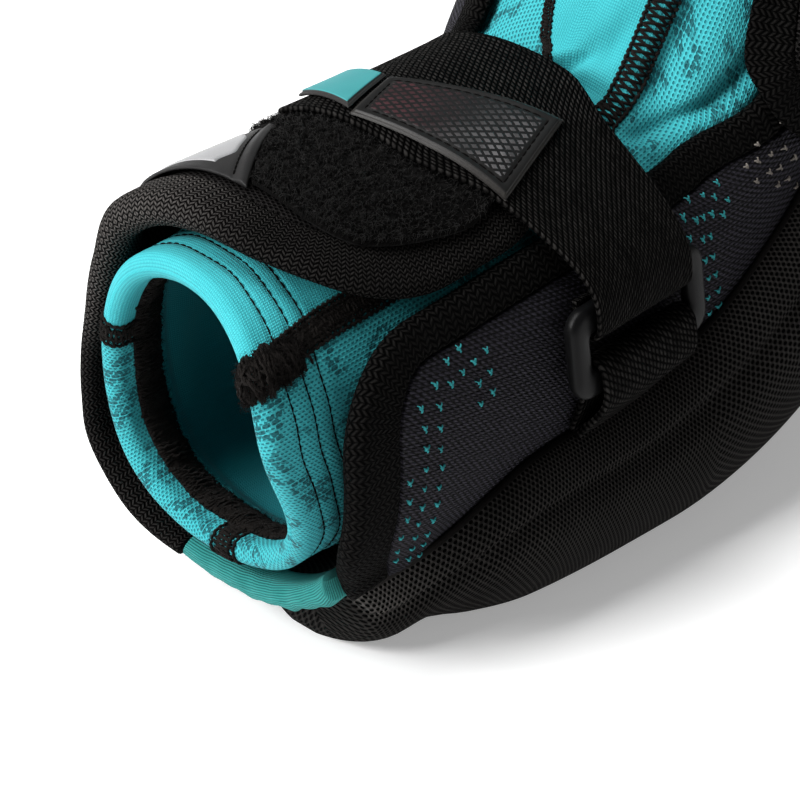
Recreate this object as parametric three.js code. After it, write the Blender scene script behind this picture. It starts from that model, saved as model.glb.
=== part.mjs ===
// Soft elbow pad for hockey: a stretch sleeve inside a padded shell, lying on its elbow cap.
// Millimetres and degrees. +X runs up the arm from the forearm cuff, +Y is the flap's root side, +Z is up.
// A place on the pad is given by three numbers: along, the distance up the arm's centre line from the
// forearm cuff; around, the angle about that line, 0 at the elbow cap, 90 on the buckle side, 180 on the
// inside of the arm and 270 on the flap's root side; and lift, the height above the shell's inner form.
import * as THREE from "three";

const DEG = Math.PI / 180;

// Centre line: straight through the forearm, then a bend, then straight up the arm. The pad lies rolled
// towards its buckle side, which turns the plane of the bend from upright.
const ARM = { straight: 128, bendRadius: 70, bend: 45, roll: 10, height: 74 };
const INWARD = new THREE.Vector3(0, Math.sin(ARM.roll * DEG), Math.cos(ARM.roll * DEG));
const SIDEWAYS = new THREE.Vector3(0, Math.cos(ARM.roll * DEG), -Math.sin(ARM.roll * DEG));

// Shell's inner form: half width, and depth below and above the centre line.
const SECTIONS = [
  { along: 0, side: 47, below: 50, above: 52 },
  { along: 20, side: 47, below: 50.5, above: 51.5 },
  { along: 70, side: 47.6, below: 51.5, above: 47.5 },
  { along: 150, side: 49, below: 52, above: 47.5 },
  { along: 190, side: 50.5, below: 52, above: 49 },
  { along: 285, side: 52, below: 50, above: 53 },
];
const SQUARENESS = 2.3;

// Sleeve: how far it stands inside the shell's form, and how thick its wall is, hemmed at both ends.
const SLEEVE_WALL = 1.5;
const HEM = { depth: 22, thickness: 3.2 };
const SLEEVE = [
  { along: 0, shrink: 7.5, below: 2.5, thick: 1.6 },
  { along: 1.5, shrink: 6.4, below: 1.8, thick: 2.8 },
  { along: 5, shrink: 6, below: 1.6, thick: HEM.thickness },
  { along: HEM.depth, shrink: 5, below: 1.2, thick: HEM.thickness },
  { along: HEM.depth + 4, shrink: 4.4, below: 1, thick: SLEEVE_WALL },
  { along: 48, shrink: 1, below: 0.8, thick: SLEEVE_WALL },
  { along: 70, shrink: 0.8, below: 0.8, thick: SLEEVE_WALL },
  { along: 255, shrink: 0.8, below: 0.8, thick: SLEEVE_WALL },
  { along: 285 - HEM.depth, shrink: 1.5, below: 0.8, thick: HEM.thickness },
  { along: 282, shrink: 2, below: 1, thick: HEM.thickness },
  { along: 285, shrink: 3, below: 2, thick: 1.6 },
];
const CUFF_LEAN = { reach: 15, around: 116, spread: 48, fades: 60 };
// Folds where the sleeve gathers inside the elbow: each one a soft valley across the arm.
const CREASES = [
  { along: 141, around: 176, depth: 4, length: 5, spread: 34 },
  { along: 158, around: 188, depth: 6, length: 6, spread: 40 },
  { along: 174, around: 172, depth: 4, length: 5, spread: 30 },
];

// Elbow cap: where its lip runs up the buckle side, and how thick the foam is in its middle, which lies
// turned towards that side.
const CAP_MIDDLE = 20;
const CAP = [
  { along: 14, lip: 36, rise: 13 },
  { along: 17, lip: 38.5, rise: 20 },
  { along: 22, lip: 40.5, rise: 26 },
  { along: 30, lip: 43, rise: 28.2 },
  { along: 38, lip: 48.6, rise: 27.5 },
  { along: 46, lip: 55.5, rise: 29.5 },
  { along: 54, lip: 62, rise: 32.5 },
  { along: 70, lip: 68.5, rise: 36.5 },
  { along: 104, lip: 70.5, rise: 39.5 },
  { along: 133, lip: 77, rise: 40.5 },
  { along: 163, lip: 84, rise: 40 },
  { along: 188, lip: 85, rise: 33 },
  { along: 218, lip: 76, rise: 19 },
  { along: 244, lip: 62, rise: 13 },
  { along: 254, lip: 50, rise: 8 },
];
const CAP_SEAT = {
  under: 0.9, overPanel: 9.45, step: [27, 30.5], flare: 4, tuckFrom: 51, tuck: 3, clear: 1.6,
};
const CAP_LIP = { from: 0.8, height: 5.6, groove: 3, edge: 1.6 };

// Side panels: foam walls up both flanks, each with a woven binding round its free edge, and the wing that
// lies on the buckle side's panel at the upper arm. The hand is 1 on the buckle side and -1 opposite, and
// the foot is the binding's width where it climbs the near end.
const BINDING = { width: 12, gap: 1.1, roll: 4, lower: 0.8, seam: 1.4 };
const RIGHT_PANEL = {
  hand: 1, near: 1, far: 262, low: 53.5, capped: true, corner: 32, foot: 17, inner: 0.5, outer: 8.8,
  tops: [
    { along: 0, top: 129.6 },
    { along: 60, top: 130 },
    { along: 130, top: 130.8 },
    { along: 152, top: 130.4 },
    { along: 166, top: 127.5 },
    { along: 179, top: 121.5 },
    { along: 190, top: 115 },
    { along: 205, top: 111 },
    { along: 262, top: 110 },
  ],
};
const LEFT_PANEL = {
  hand: -1, near: 121, far: 262, low: 13.5, corner: 26, foot: 12, inner: 0.5, outer: 6.4,
  tops: [
    { along: 121, top: 130.5 },
    { along: 138, top: 131.5 },
    { along: 152, top: 135 },
    { along: 166, top: 140.5 },
    { along: 182, top: 146 },
    { along: 190, top: 146.8 },
    { along: 262, top: 138 },
  ],
};
const RIGHT_WING = {
  hand: 1, near: 185, far: 254, low: 88, corner: 20, foot: 12, inner: 9.4, outer: 14,
  tops: [
    { along: 200, top: 127 },
    { along: 225, top: 132 },
    { along: 262, top: 134 },
  ],
};
// Millimetres round the shell to a degree, at the panels' middle.
const ARC = 58 * DEG;

// Forearm flap: a wall that comes up from the root side, crosses the inside of the arm and ends on the
// buckle side.
const FLAP = { inner: 2.8, outer: 7.4, binding: 15.5, gap: 0.4 };
const FLAP_BINDING = { inner: 2.4, outer: 8.2, roll: 4 };
const FOREARM_FLAP = {
  near: 3, far: 105, end: 131.8, nearCorner: 48, corner: 34,
  core: 346.5, nearRoot: 343, farRoot: 346.5, rootWidth: 10.5,
  lie: [
    { around: 166, shift: 0 },
    { around: 200, shift: 2.4 },
    { around: 220, shift: 2.2 },
    { around: 238, shift: -2 },
    { around: 256, shift: -3 },
    { around: 275, shift: -0.8 },
    { around: 289, shift: 1.8 },
    { around: 303, shift: 5.2 },
    { around: 318, shift: 3.4 },
    { around: 330, shift: 1.6 },
    { around: 346, shift: -0.6 },
  ],
  fade: 50,
  swell: { shift: 2, around: 325, spread: 14, to: 14, fade: 8 },
};

const LOOP = {
  inner: 8.6, outer: 10.2, near: 22.5, far: 92, to: 226,
  edge: [
    { along: 22.5, around: 166 },
    { along: 24.5, around: 158 },
    { along: 30, around: 151 },
    { along: 51, around: 144 },
    { along: 64, around: 142 },
    { along: 76, around: 145 },
    { along: 92, around: 149 },
  ],
};
const BADGE = { inner: 8.6, outer: 10.1, near: 19.8, far: 57, from: 182, slant: 0.7, to: 262, gap: 1.2 };
const LINING = { near: 4, far: 13.5, from: -16, to: 52, inner: 0.8, outer: 9.5 };

// Buckle ring on the side panel, in its own plane: length along the arm, height round it.
const RING = {
  along: 102.8, around: 98.8, lift: 14.3, slot: 41, side: 7, bar: 8.4, height: 27, depth: 5, corner: 6,
  bevel: 1.2,
};
const WRAP_GAP = 0.7;
const TRIM_GAP = 0.3;
const STRAP = {
  thickness: 1.8, lift: 11.9, from: 212, to: 146,
  edges: [
    { around: 120, near: 83.3, far: 122.3 },
    { around: 145, near: 74, far: 122.5 },
    { around: 167, near: 63.5, far: 129 },
    { around: 200, near: 63, far: 134 },
  ],
};
const ANCHOR = { width: 39, thickness: 1.8, aboveLip: 1.6, outer: 13, inner: 10.4 };
// Trim on the strap: the corners of each end, near and far.
const PATCH = {
  thickness: 1.6,
  tip: { near: 64.5, nearAround: 187.5, far: 88.5, farAround: 195.5 },
  root: { near: 74.8, nearAround: 142.5, far: 109.5, farAround: 153 },
};
const PULL_TAB = {
  thickness: 1.5,
  tip: { near: 74, nearAround: 214.5, far: 96, farAround: 217 },
  root: { near: 67, nearAround: 190, far: 90.5, farAround: 197.8 },
};

const COLOURS = {
  sleeve: { color: 0x3fb4bf, roughness: 0.75 },
  lining: { color: 0x53c4b6, roughness: 0.85 },
  mesh: { color: 0x1d1b1a, roughness: 0.9 },
  knit: { color: 0x2a2830, roughness: 0.9 },
  tape: { color: 0x1c1b1a, roughness: 0.88 },
  loop: { color: 0x121111, roughness: 1 },
  webbing: { color: 0x151414, roughness: 0.92 },
  rubber: { color: 0x232224, roughness: 0.45 },
  tab: { color: 0x55b3b0, roughness: 0.6 },
  plastic: { color: 0x161617, roughness: 0.35 },
};

const material = (slot) => new THREE.MeshStandardMaterial({ metalness: 0, ...COLOURS[slot] });
const clamp = (x, low, high) => Math.min(Math.max(x, low), high);
const ease = (t) => clamp(t, 0, 1) ** 2 * (3 - 2 * clamp(t, 0, 1));
const mix = (a, b, t) => a + (b - a) * t;
const bell = (x) => Math.exp(-x * x);
const steps = (count) => Array.from({ length: count + 1 }, (_, i) => i / count);
// Even steps with one more just inside each end, where an edge is rounded.
const rimmed = (count, rim = 0.25 / count) => [0, rim, ...steps(count).slice(1, -1), 1 - rim, 1];

// A table's column at a place along the arm, or at an angle round it, eased from row to row.
function column(table, key, where, by = "along") {
  const last = table.length - 1;
  if (where <= table[0][by]) return table[0][key];
  if (where >= table[last][by]) return table[last][key];
  const i = table.findIndex((row) => row[by] > where);
  const [a, b] = [table[i - 1], table[i]];
  return mix(a[key], b[key], ease((where - a[by]) / (b[by] - a[by])));
}

// The centre line's place up the arm, its rise out of the forearm's line, and its slope.
function centreLine(along) {
  const past = clamp(along - ARM.straight, 0, ARM.bendRadius * ARM.bend * DEG);
  const slope = past / ARM.bendRadius;
  const beyond = Math.max(along - ARM.straight - past, 0);
  const x = Math.min(along, ARM.straight) + ARM.bendRadius * Math.sin(slope) + beyond * Math.cos(slope);
  const rise = ARM.bendRadius * (1 - Math.cos(slope)) + beyond * Math.sin(slope);
  return { x, rise, slope };
}

// Distance from the centre line to the shell's inner form.
function formRadius(along, around) {
  const across = Math.sin(around * DEG) / column(SECTIONS, "side", along);
  const down = Math.cos(around * DEG);
  const upright = down / column(SECTIONS, down > 0 ? "below" : "above", along);
  return (Math.abs(across) ** SQUARENESS + Math.abs(upright) ** SQUARENESS) ** (-1 / SQUARENESS);
}

function place(along, around, lift) {
  const { x, rise, slope } = centreLine(along);
  const reach = formRadius(along, around) + lift;
  const offset = new THREE.Vector3(0, -Math.sin(around * DEG), -Math.cos(around * DEG)).multiplyScalar(reach);
  const inward = offset.dot(INWARD);
  return new THREE.Vector3(x - Math.sin(slope) * inward, 0, ARM.height)
    .addScaledVector(INWARD, rise + Math.cos(slope) * inward)
    .addScaledVector(SIDEWAYS, offset.dot(SIDEWAYS));
}

// A closed solid from two sheets of points, point(u, v, side) with side 0 inside and 1 outside,
// joined round their edges. With round set, v goes all the way about and its ends meet.
function sheetSolid(us, vs, point, round = false) {
  const rows = us.length;
  const cols = vs.length;
  const positions = [];
  for (const side of [0, 1])
    for (const u of us) for (const v of vs) positions.push(...point(u, v, side).toArray());
  const at = (side, i, j) => side * rows * cols + i * cols + (round ? j % cols : j);
  const index = [];
  const quad = (a, b, c, d) => index.push(a, b, c, a, c, d);
  const lastCol = round ? cols : cols - 1;
  for (let i = 0; i < rows - 1; i++)
    for (let j = 0; j < lastCol; j++) {
      quad(at(1, i, j), at(1, i + 1, j), at(1, i + 1, j + 1), at(1, i, j + 1));
      quad(at(0, i, j), at(0, i, j + 1), at(0, i + 1, j + 1), at(0, i + 1, j));
    }
  for (let j = 0; j < lastCol; j++) {
    quad(at(0, 0, j), at(1, 0, j), at(1, 0, j + 1), at(0, 0, j + 1));
    quad(at(0, rows - 1, j), at(0, rows - 1, j + 1), at(1, rows - 1, j + 1), at(1, rows - 1, j));
  }
  if (!round)
    for (let i = 0; i < rows - 1; i++) {
      quad(at(0, i, 0), at(0, i + 1, 0), at(1, i + 1, 0), at(1, i, 0));
      quad(at(0, i, cols - 1), at(1, i, cols - 1), at(1, i + 1, cols - 1), at(0, i + 1, cols - 1));
    }
  return facingOut(positions, index);
}

// Turns the triangles round where they enclose a negative volume.
function facingOut(positions, index) {
  const [a, b, c] = [new THREE.Vector3(), new THREE.Vector3(), new THREE.Vector3()];
  let volume = 0;
  for (let i = 0; i < index.length; i += 3) {
    a.fromArray(positions, index[i] * 3);
    b.fromArray(positions, index[i + 1] * 3);
    c.fromArray(positions, index[i + 2] * 3);
    volume += a.dot(b.cross(c));
  }
  if (volume < 0) index.reverse();
  const geometry = new THREE.BufferGeometry();
  geometry.setAttribute("position", new THREE.Float32BufferAttribute(positions, 3));
  geometry.setIndex(index);
  return geometry;
}

function mesh(name, slot, geometry) {
  const made = new THREE.Mesh(geometry, material(slot));
  made.name = name;
  return made;
}

// Height of one face of a padded wall whose edge is rounded over a roll's width.
function rolledLift(inner, outer, side, fromEdge, roll) {
  const near = clamp(fromEdge / roll, 0, 1);
  const half = ((outer - inner) / 2) * Math.max(Math.sqrt(1 - (1 - near) ** 2), 0.35);
  return (inner + outer) / 2 + (side ? half : -half);
}

// Sleeve: one tube through the whole pad, its forearm rim leaning out on the buckle side.
function sleeve() {
  const stations = [
    0, 1.5, 5, HEM.depth, HEM.depth + 4, 36, 48, 75, 105, 128, 135, 141, 147, 152, 158, 164, 169, 174, 180,
    188, 220, 255, 263, 282, 285,
  ];
  const turns = steps(28).slice(0, -1);
  const point = (along, v, side) => {
    const around = v * 360;
    const low = ease((70 - Math.min(around, 360 - around)) / 40);
    const inside = mix(column(SLEEVE, "shrink", along), column(SLEEVE, "below", along), low);
    const folds = CREASES.map((fold) => {
      const wide = bell((around - fold.around) / fold.spread);
      return fold.depth * wide * bell((along - fold.along) / fold.length);
    });
    const valley = folds.reduce((sum, depth) => sum + depth, 0);
    const lift = -inside - valley - (side ? 0 : column(SLEEVE, "thick", along));
    const lean = CUFF_LEAN.reach * bell((around - CUFF_LEAN.around) / CUFF_LEAN.spread);
    return place(along - lean * ease(1 - along / CUFF_LEAN.fades), around, lift);
  };
  return mesh("sleeve", "sleeve", sheetSolid(stations, turns, point, true));
}

// Elbow cap: a foam bowl under the arm with a rolled lip, flat where it rests. Its rows, counted from the
// middle, run to 1 at the foot of the step that clears the side panels, 2 at the step's top and 3 at the lip.
function elbowCap() {
  const stations = [
    14, 15, 17, 19.5, 22, 30, 38, 46, 54, 70, 87, 104, 118, 133, 148, 163, 176, 188, 203, 218, 232, 244,
    249.5, 252.5, 254,
  ];
  const half = [0.35, 0.7, 1, 2, 2.22, 2.4, 2.52, 2.64, 2.8, 2.93, 3];
  const rows = [...half.map((row) => -row).reverse(), 0, ...half];
  const point = (along, row, side) => {
    const lip = column(CAP, "lip", along) - CAP_MIDDLE;
    const foot = Math.min(CAP_SEAT.step[0], 0.8 * lip);
    const shelf = Math.min(CAP_SEAT.step[1], 0.86 * lip);
    const count = Math.abs(row);
    const onStep = clamp(count - 1, 0, 1);
    const off = mix(mix(foot * Math.min(count, 1), shelf, onStep), lip, Math.max(count - 2, 0));
    const open = ease((lip - CAP_SEAT.step[0] + 3) / CAP_SEAT.flare);
    const inner = mix(CAP_SEAT.under, mix(CAP_SEAT.under, CAP_SEAT.overPanel, open), onStep);
    const share = off / lip;
    const flank = mix(column(CAP, "rise", along), CAP_SEAT.overPanel + CAP_LIP.height, share ** 4);
    const roll = clamp((share - CAP_LIP.from) / (1 - CAP_LIP.from), 0, 1);
    const groove = CAP_LIP.groove * bell((share - CAP_LIP.from) / 0.05);
    const rounded = flank - groove - (CAP_LIP.height - CAP_LIP.edge) * (1 - Math.sqrt(1 - roll ** 4));
    const ends = Math.min(along - CAP[0].along, CAP.at(-1).along - along);
    const thin = inner + CAP_LIP.edge;
    const outer = mix(thin, Math.max(rounded, thin), Math.sqrt(ease(ends / 7)));
    const made = place(along, CAP_MIDDLE + Math.sign(row) * off, side ? outer : inner);
    if (side) made.z = Math.max(made.z, 0);
    return made;
  };
  return mesh("elbow_cap", "mesh", sheetSolid(stations, rows, point));
}

// A place on a panel, from its along and its arc round the shell.
const onPanel = (spec, along, arc, lift) => place(along, spec.hand * arc / ARC, lift);

const panelTop = (spec, along) => column(spec.tops, "top", along) * ARC;
const panelSlope = (spec, along) => Math.atan(panelTop(spec, along + 0.5) - panelTop(spec, along - 0.5));

// Where a panel ends: under the cap's lip, or against it where the lip comes down to the shell.
function panelLow(spec, along) {
  const lip = column(CAP, "lip", along);
  const tucked = ease(lip - CAP_SEAT.tuckFrom);
  return Math.min(spec.low, lip + mix(CAP_SEAT.clear, -CAP_SEAT.tuck, tucked)) * ARC;
}

// The panel's free edge, a distance from its near foot: up the near edge, round the corner, up the arm.
function panelEdge(spec, distance) {
  const climb = panelTop(spec, spec.near) - spec.low * ARC - spec.corner;
  const turned = clamp((distance - climb) / spec.corner, 0, Math.PI / 2);
  if (distance < climb) return { along: spec.near, arc: spec.low * ARC + distance, inAlong: 1, inArc: 0 };
  const rest = Math.max(distance - climb - spec.corner * Math.PI / 2, 0);
  const along = spec.near + spec.corner * (1 - Math.cos(turned)) + rest;
  const arc = panelTop(spec, along) - spec.corner * (1 - Math.sin(turned));
  const facing = turned - panelSlope(spec, along) * turned * 2 / Math.PI;
  return { along, arc, inAlong: Math.cos(facing), inArc: -Math.sin(facing) };
}

// The corner of a panel inside its binding: half an oval's length along the arm, and its height round it.
function innerCorner(spec) {
  return {
    length: spec.corner - spec.foot - BINDING.gap,
    height: spec.corner - BINDING.width - BINDING.gap,
  };
}

function sidePanel(name, slot, spec, columns, rows) {
  const near = spec.near + spec.foot + BINDING.gap;
  const corner = innerCorner(spec);
  const point = (u, v, side) => {
    const along = mix(near, spec.far, u);
    const inset = 1 - Math.min((along - near) / corner.length, 1);
    const leaning = BINDING.width * (1 / Math.cos(panelSlope(spec, along)) - 1) * 1.25;
    const top = panelTop(spec, along) - spec.corner + corner.height * Math.sqrt(1 - inset ** 2) - leaning;
    const arc = mix(spec.capped ? panelLow(spec, along) : spec.low * ARC, top, v);
    const seam = BINDING.seam * bell(Math.min(top - arc, along - near) / 5);
    const lift = rolledLift(spec.inner, spec.outer - seam, side, spec.far - along, BINDING.roll);
    return onPanel(spec, along, arc, lift);
  };
  const across = [...steps(rows).map((t) => t * 0.86), 0.94, 1];
  return mesh(name, slot, sheetSolid(rimmed(columns), across, point));
}

function panelBinding(name, spec) {
  const climb = panelTop(spec, spec.near) - spec.low * ARC - spec.corner;
  const turn = spec.corner * Math.PI / 2;
  const run = spec.far - spec.near - spec.corner;
  const stops = [
    ...steps(Math.ceil(climb / 14)).map((t) => t * climb),
    ...steps(6).slice(1).map((t) => climb + t * turn),
    ...steps(Math.ceil(run / 18)).slice(1).map((t) => climb + turn + t * run),
  ];
  const corner = innerCorner(spec);
  const point = (distance, wanted, side) => {
    const edge = panelEdge(spec, distance);
    const turned = clamp((distance - climb) / spec.corner, 0, Math.PI / 2);
    const oval = 1 / Math.hypot(Math.cos(turned) / corner.length, Math.sin(turned) / corner.height);
    const inward = Math.min(wanted, spec.corner - BINDING.gap - oval);
    const lift = rolledLift(spec.inner, spec.outer - BINDING.lower, side, inward, BINDING.roll);
    return onPanel(spec, edge.along + edge.inAlong * inward, edge.arc + edge.inArc * inward, lift);
  };
  return mesh(name, "tape", sheetSolid(stops, [0, 0.8, 2.4, 7, spec.corner], point));
}

// How far the flap lies out, or in, at a place: less towards its far edge, and swollen at its near root.
function flapShift(along, around) {
  const { lie, far, fade, swell } = FOREARM_FLAP;
  const atRoot = bell((around - swell.around) / swell.spread) * ease((swell.to - along) / swell.fade);
  return column(lie, "shift", around, "around") * ease((far - along) / fade) + swell.shift * atRoot;
}

// A flap's free edge, a distance from its near root: over the arm, round the end, back to its far root.
function flapEdge(spec, distance) {
  const end = spec.end * ARC;
  const over = spec.nearRoot * ARC - end - spec.nearCorner;
  const turn = spec.nearCorner * Math.PI / 2;
  const across = spec.far - spec.near - spec.nearCorner - spec.corner;
  const first = clamp((distance - over) / spec.nearCorner, 0, Math.PI / 2);
  const second = clamp((distance - over - turn - across) / spec.corner, 0, Math.PI / 2);
  const middle = clamp(distance - over - turn, 0, across);
  if (distance < over) return { along: spec.near, arc: spec.nearRoot * ARC - distance, inAlong: 1, inArc: 0 };
  if (second === 0) {
    const along = spec.near + spec.nearCorner * (1 - Math.cos(first)) + middle;
    const arc = end + spec.nearCorner * (1 - Math.sin(first));
    return { along, arc, inAlong: Math.cos(first), inArc: Math.sin(first) };
  }
  const back = Math.max(distance - over - turn - across - spec.corner * Math.PI / 2, 0);
  const along = spec.far - spec.corner * (1 - Math.sin(second));
  const arc = end + spec.corner * (1 - Math.cos(second)) + back;
  return { along, arc, inAlong: -Math.sin(second), inArc: Math.cos(second) };
}

function flapBinding(name, spec) {
  const over = (spec.nearRoot - spec.end) * ARC - spec.nearCorner;
  const back = (spec.farRoot - spec.end) * ARC - spec.corner;
  const across = spec.far - spec.near - spec.nearCorner - spec.corner;
  const spans = [
    { length: over, parts: Math.ceil(over / 13) },
    { length: spec.nearCorner * Math.PI / 2, parts: 6 },
    { length: across, parts: Math.ceil(across / 16) },
    { length: spec.corner * Math.PI / 2, parts: 5 },
    { length: back, parts: Math.ceil(back / 13) },
  ];
  const stops = [0];
  for (const span of spans) {
    const start = stops.at(-1);
    stops.push(...steps(span.parts).slice(1).map((t) => start + t * span.length));
  }
  const point = (distance, share, side) => {
    const edge = flapEdge(spec, distance);
    const inward = share * mix(spec.rootWidth, FLAP.binding, ease((distance - 20) / 30));
    const arc = edge.arc + edge.inArc * inward;
    const lift = rolledLift(FLAP_BINDING.inner, FLAP_BINDING.outer, side, inward, FLAP_BINDING.roll);
    const along = edge.along + edge.inAlong * inward;
    return place(along, arc / ARC, lift + flapShift(along, arc / ARC));
  };
  return mesh(name, "tape", sheetSolid(stops, [0, 0.05, 0.16, 0.5, 1], point));
}

// Where a wall set in from the flap's free edge ends, as an arc round the shell.
function flapEnd(spec, along, inset) {
  const inFrom = (corner, fromSide) => {
    const radius = corner - inset;
    const short = radius - clamp(fromSide - inset, 0, radius);
    return corner - Math.sqrt(radius ** 2 - short ** 2);
  };
  const cut = Math.max(inFrom(spec.nearCorner, along - spec.near), inFrom(spec.corner, spec.far - along));
  return spec.end * ARC + cut;
}

function flapCore(name, spec, columns, rows) {
  const inset = FLAP.binding + FLAP.gap;
  const point = (u, v, side) => {
    const along = mix(spec.near + inset, spec.far - inset, u);
    const around = mix(spec.core, flapEnd(spec, along, inset) / ARC, v);
    return place(along, around, (side ? FLAP.outer : FLAP.inner) + flapShift(along, around));
  };
  return mesh(name, "mesh", sheetSolid(rimmed(columns), steps(rows), point));
}

// The badge's slanted edge, which the loop panel runs up to.
const badgeEdge = (along) => BADGE.from + BADGE.slant * (along - BADGE.near);

function loopPanel() {
  const turnFrom = BADGE.far + 0.6;
  const turnTo = turnFrom + 4;
  const turn = steps(4).map((t) => mix(turnFrom, turnTo, t));
  const stations = [LOOP.near, 24.5, 30, 42, ...turn, 66, 75, 84, LOOP.far];
  const point = (along, v, side) => {
    const to = mix(badgeEdge(along) - BADGE.gap, LOOP.to, ease((along - turnFrom) / (turnTo - turnFrom)));
    const around = mix(column(LOOP.edge, "around", along), to, v);
    return place(along, around, (side ? LOOP.outer : LOOP.inner) + flapShift(along, around));
  };
  return mesh("loop_panel", "loop", sheetSolid(stations, steps(9), point));
}

function flapBadge() {
  const point = (u, v, side) => {
    const along = mix(BADGE.near, BADGE.far, u);
    const around = mix(badgeEdge(along), BADGE.to, v);
    return place(along, around, (side ? BADGE.outer : BADGE.inner) + flapShift(along, around));
  };
  return mesh("flap_badge", "rubber", sheetSolid(steps(4), steps(8), point));
}

function frontLining() {
  const point = (u, v, side) => {
    const along = mix(LINING.near, LINING.far, u);
    const lift = rolledLift(LINING.inner, LINING.outer, side, along - LINING.near, 4);
    return place(along, mix(LINING.from, LINING.to, v), lift);
  };
  return mesh("front_lining", "lining", sheetSolid([0, 0.08, 0.22, 0.45, 1], steps(9), point));
}

// The ring's own plane: x up the arm, y round it, z out from it.
function ringPoint(x, y, z) {
  const outward = new THREE.Vector3(0, -Math.sin(RING.around * DEG), -Math.cos(RING.around * DEG));
  const round = new THREE.Vector3(0, -Math.cos(RING.around * DEG), Math.sin(RING.around * DEG));
  const made = place(RING.along, RING.around, RING.lift);
  made.x += x;
  return made.addScaledVector(round, y).addScaledVector(outward, z);
}

function roundedBox(path, width, height, corner) {
  const [x, y] = [width / 2, height / 2];
  path.moveTo(corner - x, -y);
  path.lineTo(x - corner, -y);
  path.absarc(x - corner, corner - y, corner, -Math.PI / 2, 0);
  path.lineTo(x, y - corner);
  path.absarc(x - corner, y - corner, corner, 0, Math.PI / 2);
  path.lineTo(corner - x, y);
  path.absarc(corner - x, y - corner, corner, Math.PI / 2, Math.PI);
  path.lineTo(-x, corner - y);
  path.absarc(corner - x, corner - y, corner, Math.PI, 1.5 * Math.PI);
  return path;
}

function ring() {
  const bevel = RING.bevel;
  const width = RING.slot + 2 * RING.side - 2 * bevel;
  const outline = roundedBox(new THREE.Shape(), width, RING.height - 2 * bevel, RING.corner - bevel);
  const slotHeight = RING.height - 2 * RING.bar;
  outline.holes.push(roundedBox(new THREE.Path(), RING.slot + 2 * bevel, slotHeight + 2 * bevel, 2));
  const depth = RING.depth - 2 * bevel;
  const options = { depth, bevelSize: bevel, bevelThickness: bevel, bevelSegments: 2, curveSegments: 3 };
  const solid = new THREE.ExtrudeGeometry(outline, options);
  const position = solid.getAttribute("position");
  for (let i = 0; i < position.count; i++) {
    const made = ringPoint(position.getX(i), position.getY(i), position.getZ(i) - depth / 2);
    position.setXYZ(i, made.x, made.y, made.z);
  }
  return mesh("ring", "plastic", solid);
}

// A band of webbing: pathAt gives its points at a share of its width, from 0 at the near edge to 1.
function ribbon(pathAt, thickness) {
  const across = [0, 0.5, 1];
  const paths = new Map(across.map((v) => [v, pathAt(v)]));
  const point = (i, v, side) => {
    const path = paths.get(v);
    const [before, after] = [path[Math.max(i - 1, 0)], path[Math.min(i + 1, path.length - 1)]];
    const tangent = after.clone().sub(before).setX(0).normalize();
    const face = new THREE.Vector3(0, tangent.z, -tangent.y);
    return path[i].clone().addScaledVector(face, (side - 0.5) * thickness);
  };
  return sheetSolid([...paths.get(0).keys()], across, point);
}

// Webbing round one long bar of the ring, from its outside to its inside. The hand is 1 for the upper bar.
function barWrap(hand, thickness, x) {
  const radius = RING.depth / 2 + WRAP_GAP + thickness / 2;
  const middle = RING.height / 2 - RING.bar + RING.depth / 2;
  const turn = (t) => {
    const angle = t * Math.PI;
    return ringPoint(x, hand * (middle - radius * Math.sin(angle)), radius * Math.cos(angle));
  };
  const crest = (z) => ringPoint(x, hand * RING.height / 2, z);
  return [crest(radius), ...steps(8).map(turn), crest(-radius)];
}

function strap() {
  const crossing = (around, v) => {
    const near = column(STRAP.edges, "near", around, "around");
    const along = mix(near, column(STRAP.edges, "far", around, "around"), v);
    return place(along, around, STRAP.lift + flapShift(along, around));
  };
  const atRing = STRAP.edges[0];
  const pathAt = (v) => {
    const over = steps(11).map((t) => crossing(mix(STRAP.from, STRAP.to, t), v));
    const wrap = barWrap(1, STRAP.thickness, mix(atRing.near, atRing.far, v) - RING.along);
    const between = [0.25, 0.5, 0.75].map((t) => over.at(-1).clone().lerp(wrap[0], t));
    return [...over, ...between, ...wrap];
  };
  return mesh("strap", "webbing", ribbon(pathAt, STRAP.thickness));
}

function anchorWebbing() {
  const pathAt = (v) => {
    const x = (v - 0.5) * ANCHOR.width;
    const along = RING.along + x;
    const foot = (lift) => place(along, column(CAP, "lip", along) + ANCHOR.aboveLip, lift);
    return [foot(ANCHOR.outer), ...barWrap(-1, ANCHOR.thickness, x), foot(ANCHOR.inner)];
  };
  return mesh("anchor_webbing", "webbing", ribbon(pathAt, ANCHOR.thickness));
}

function strapTrim(name, slot, spec) {
  const lift = STRAP.lift + STRAP.thickness / 2 + TRIM_GAP + spec.thickness / 2;
  const corner = (end, key, v) => mix(end["near" + key], end["far" + key], v);
  const pathAt = (v) => steps(9).map((t) => {
    const along = mix(corner(spec.tip, "", v), corner(spec.root, "", v), t);
    const around = mix(corner(spec.tip, "Around", v), corner(spec.root, "Around", v), t);
    return place(along, around, lift + flapShift(along, around));
  });
  return mesh(name, slot, ribbon(pathAt, spec.thickness));
}

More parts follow.
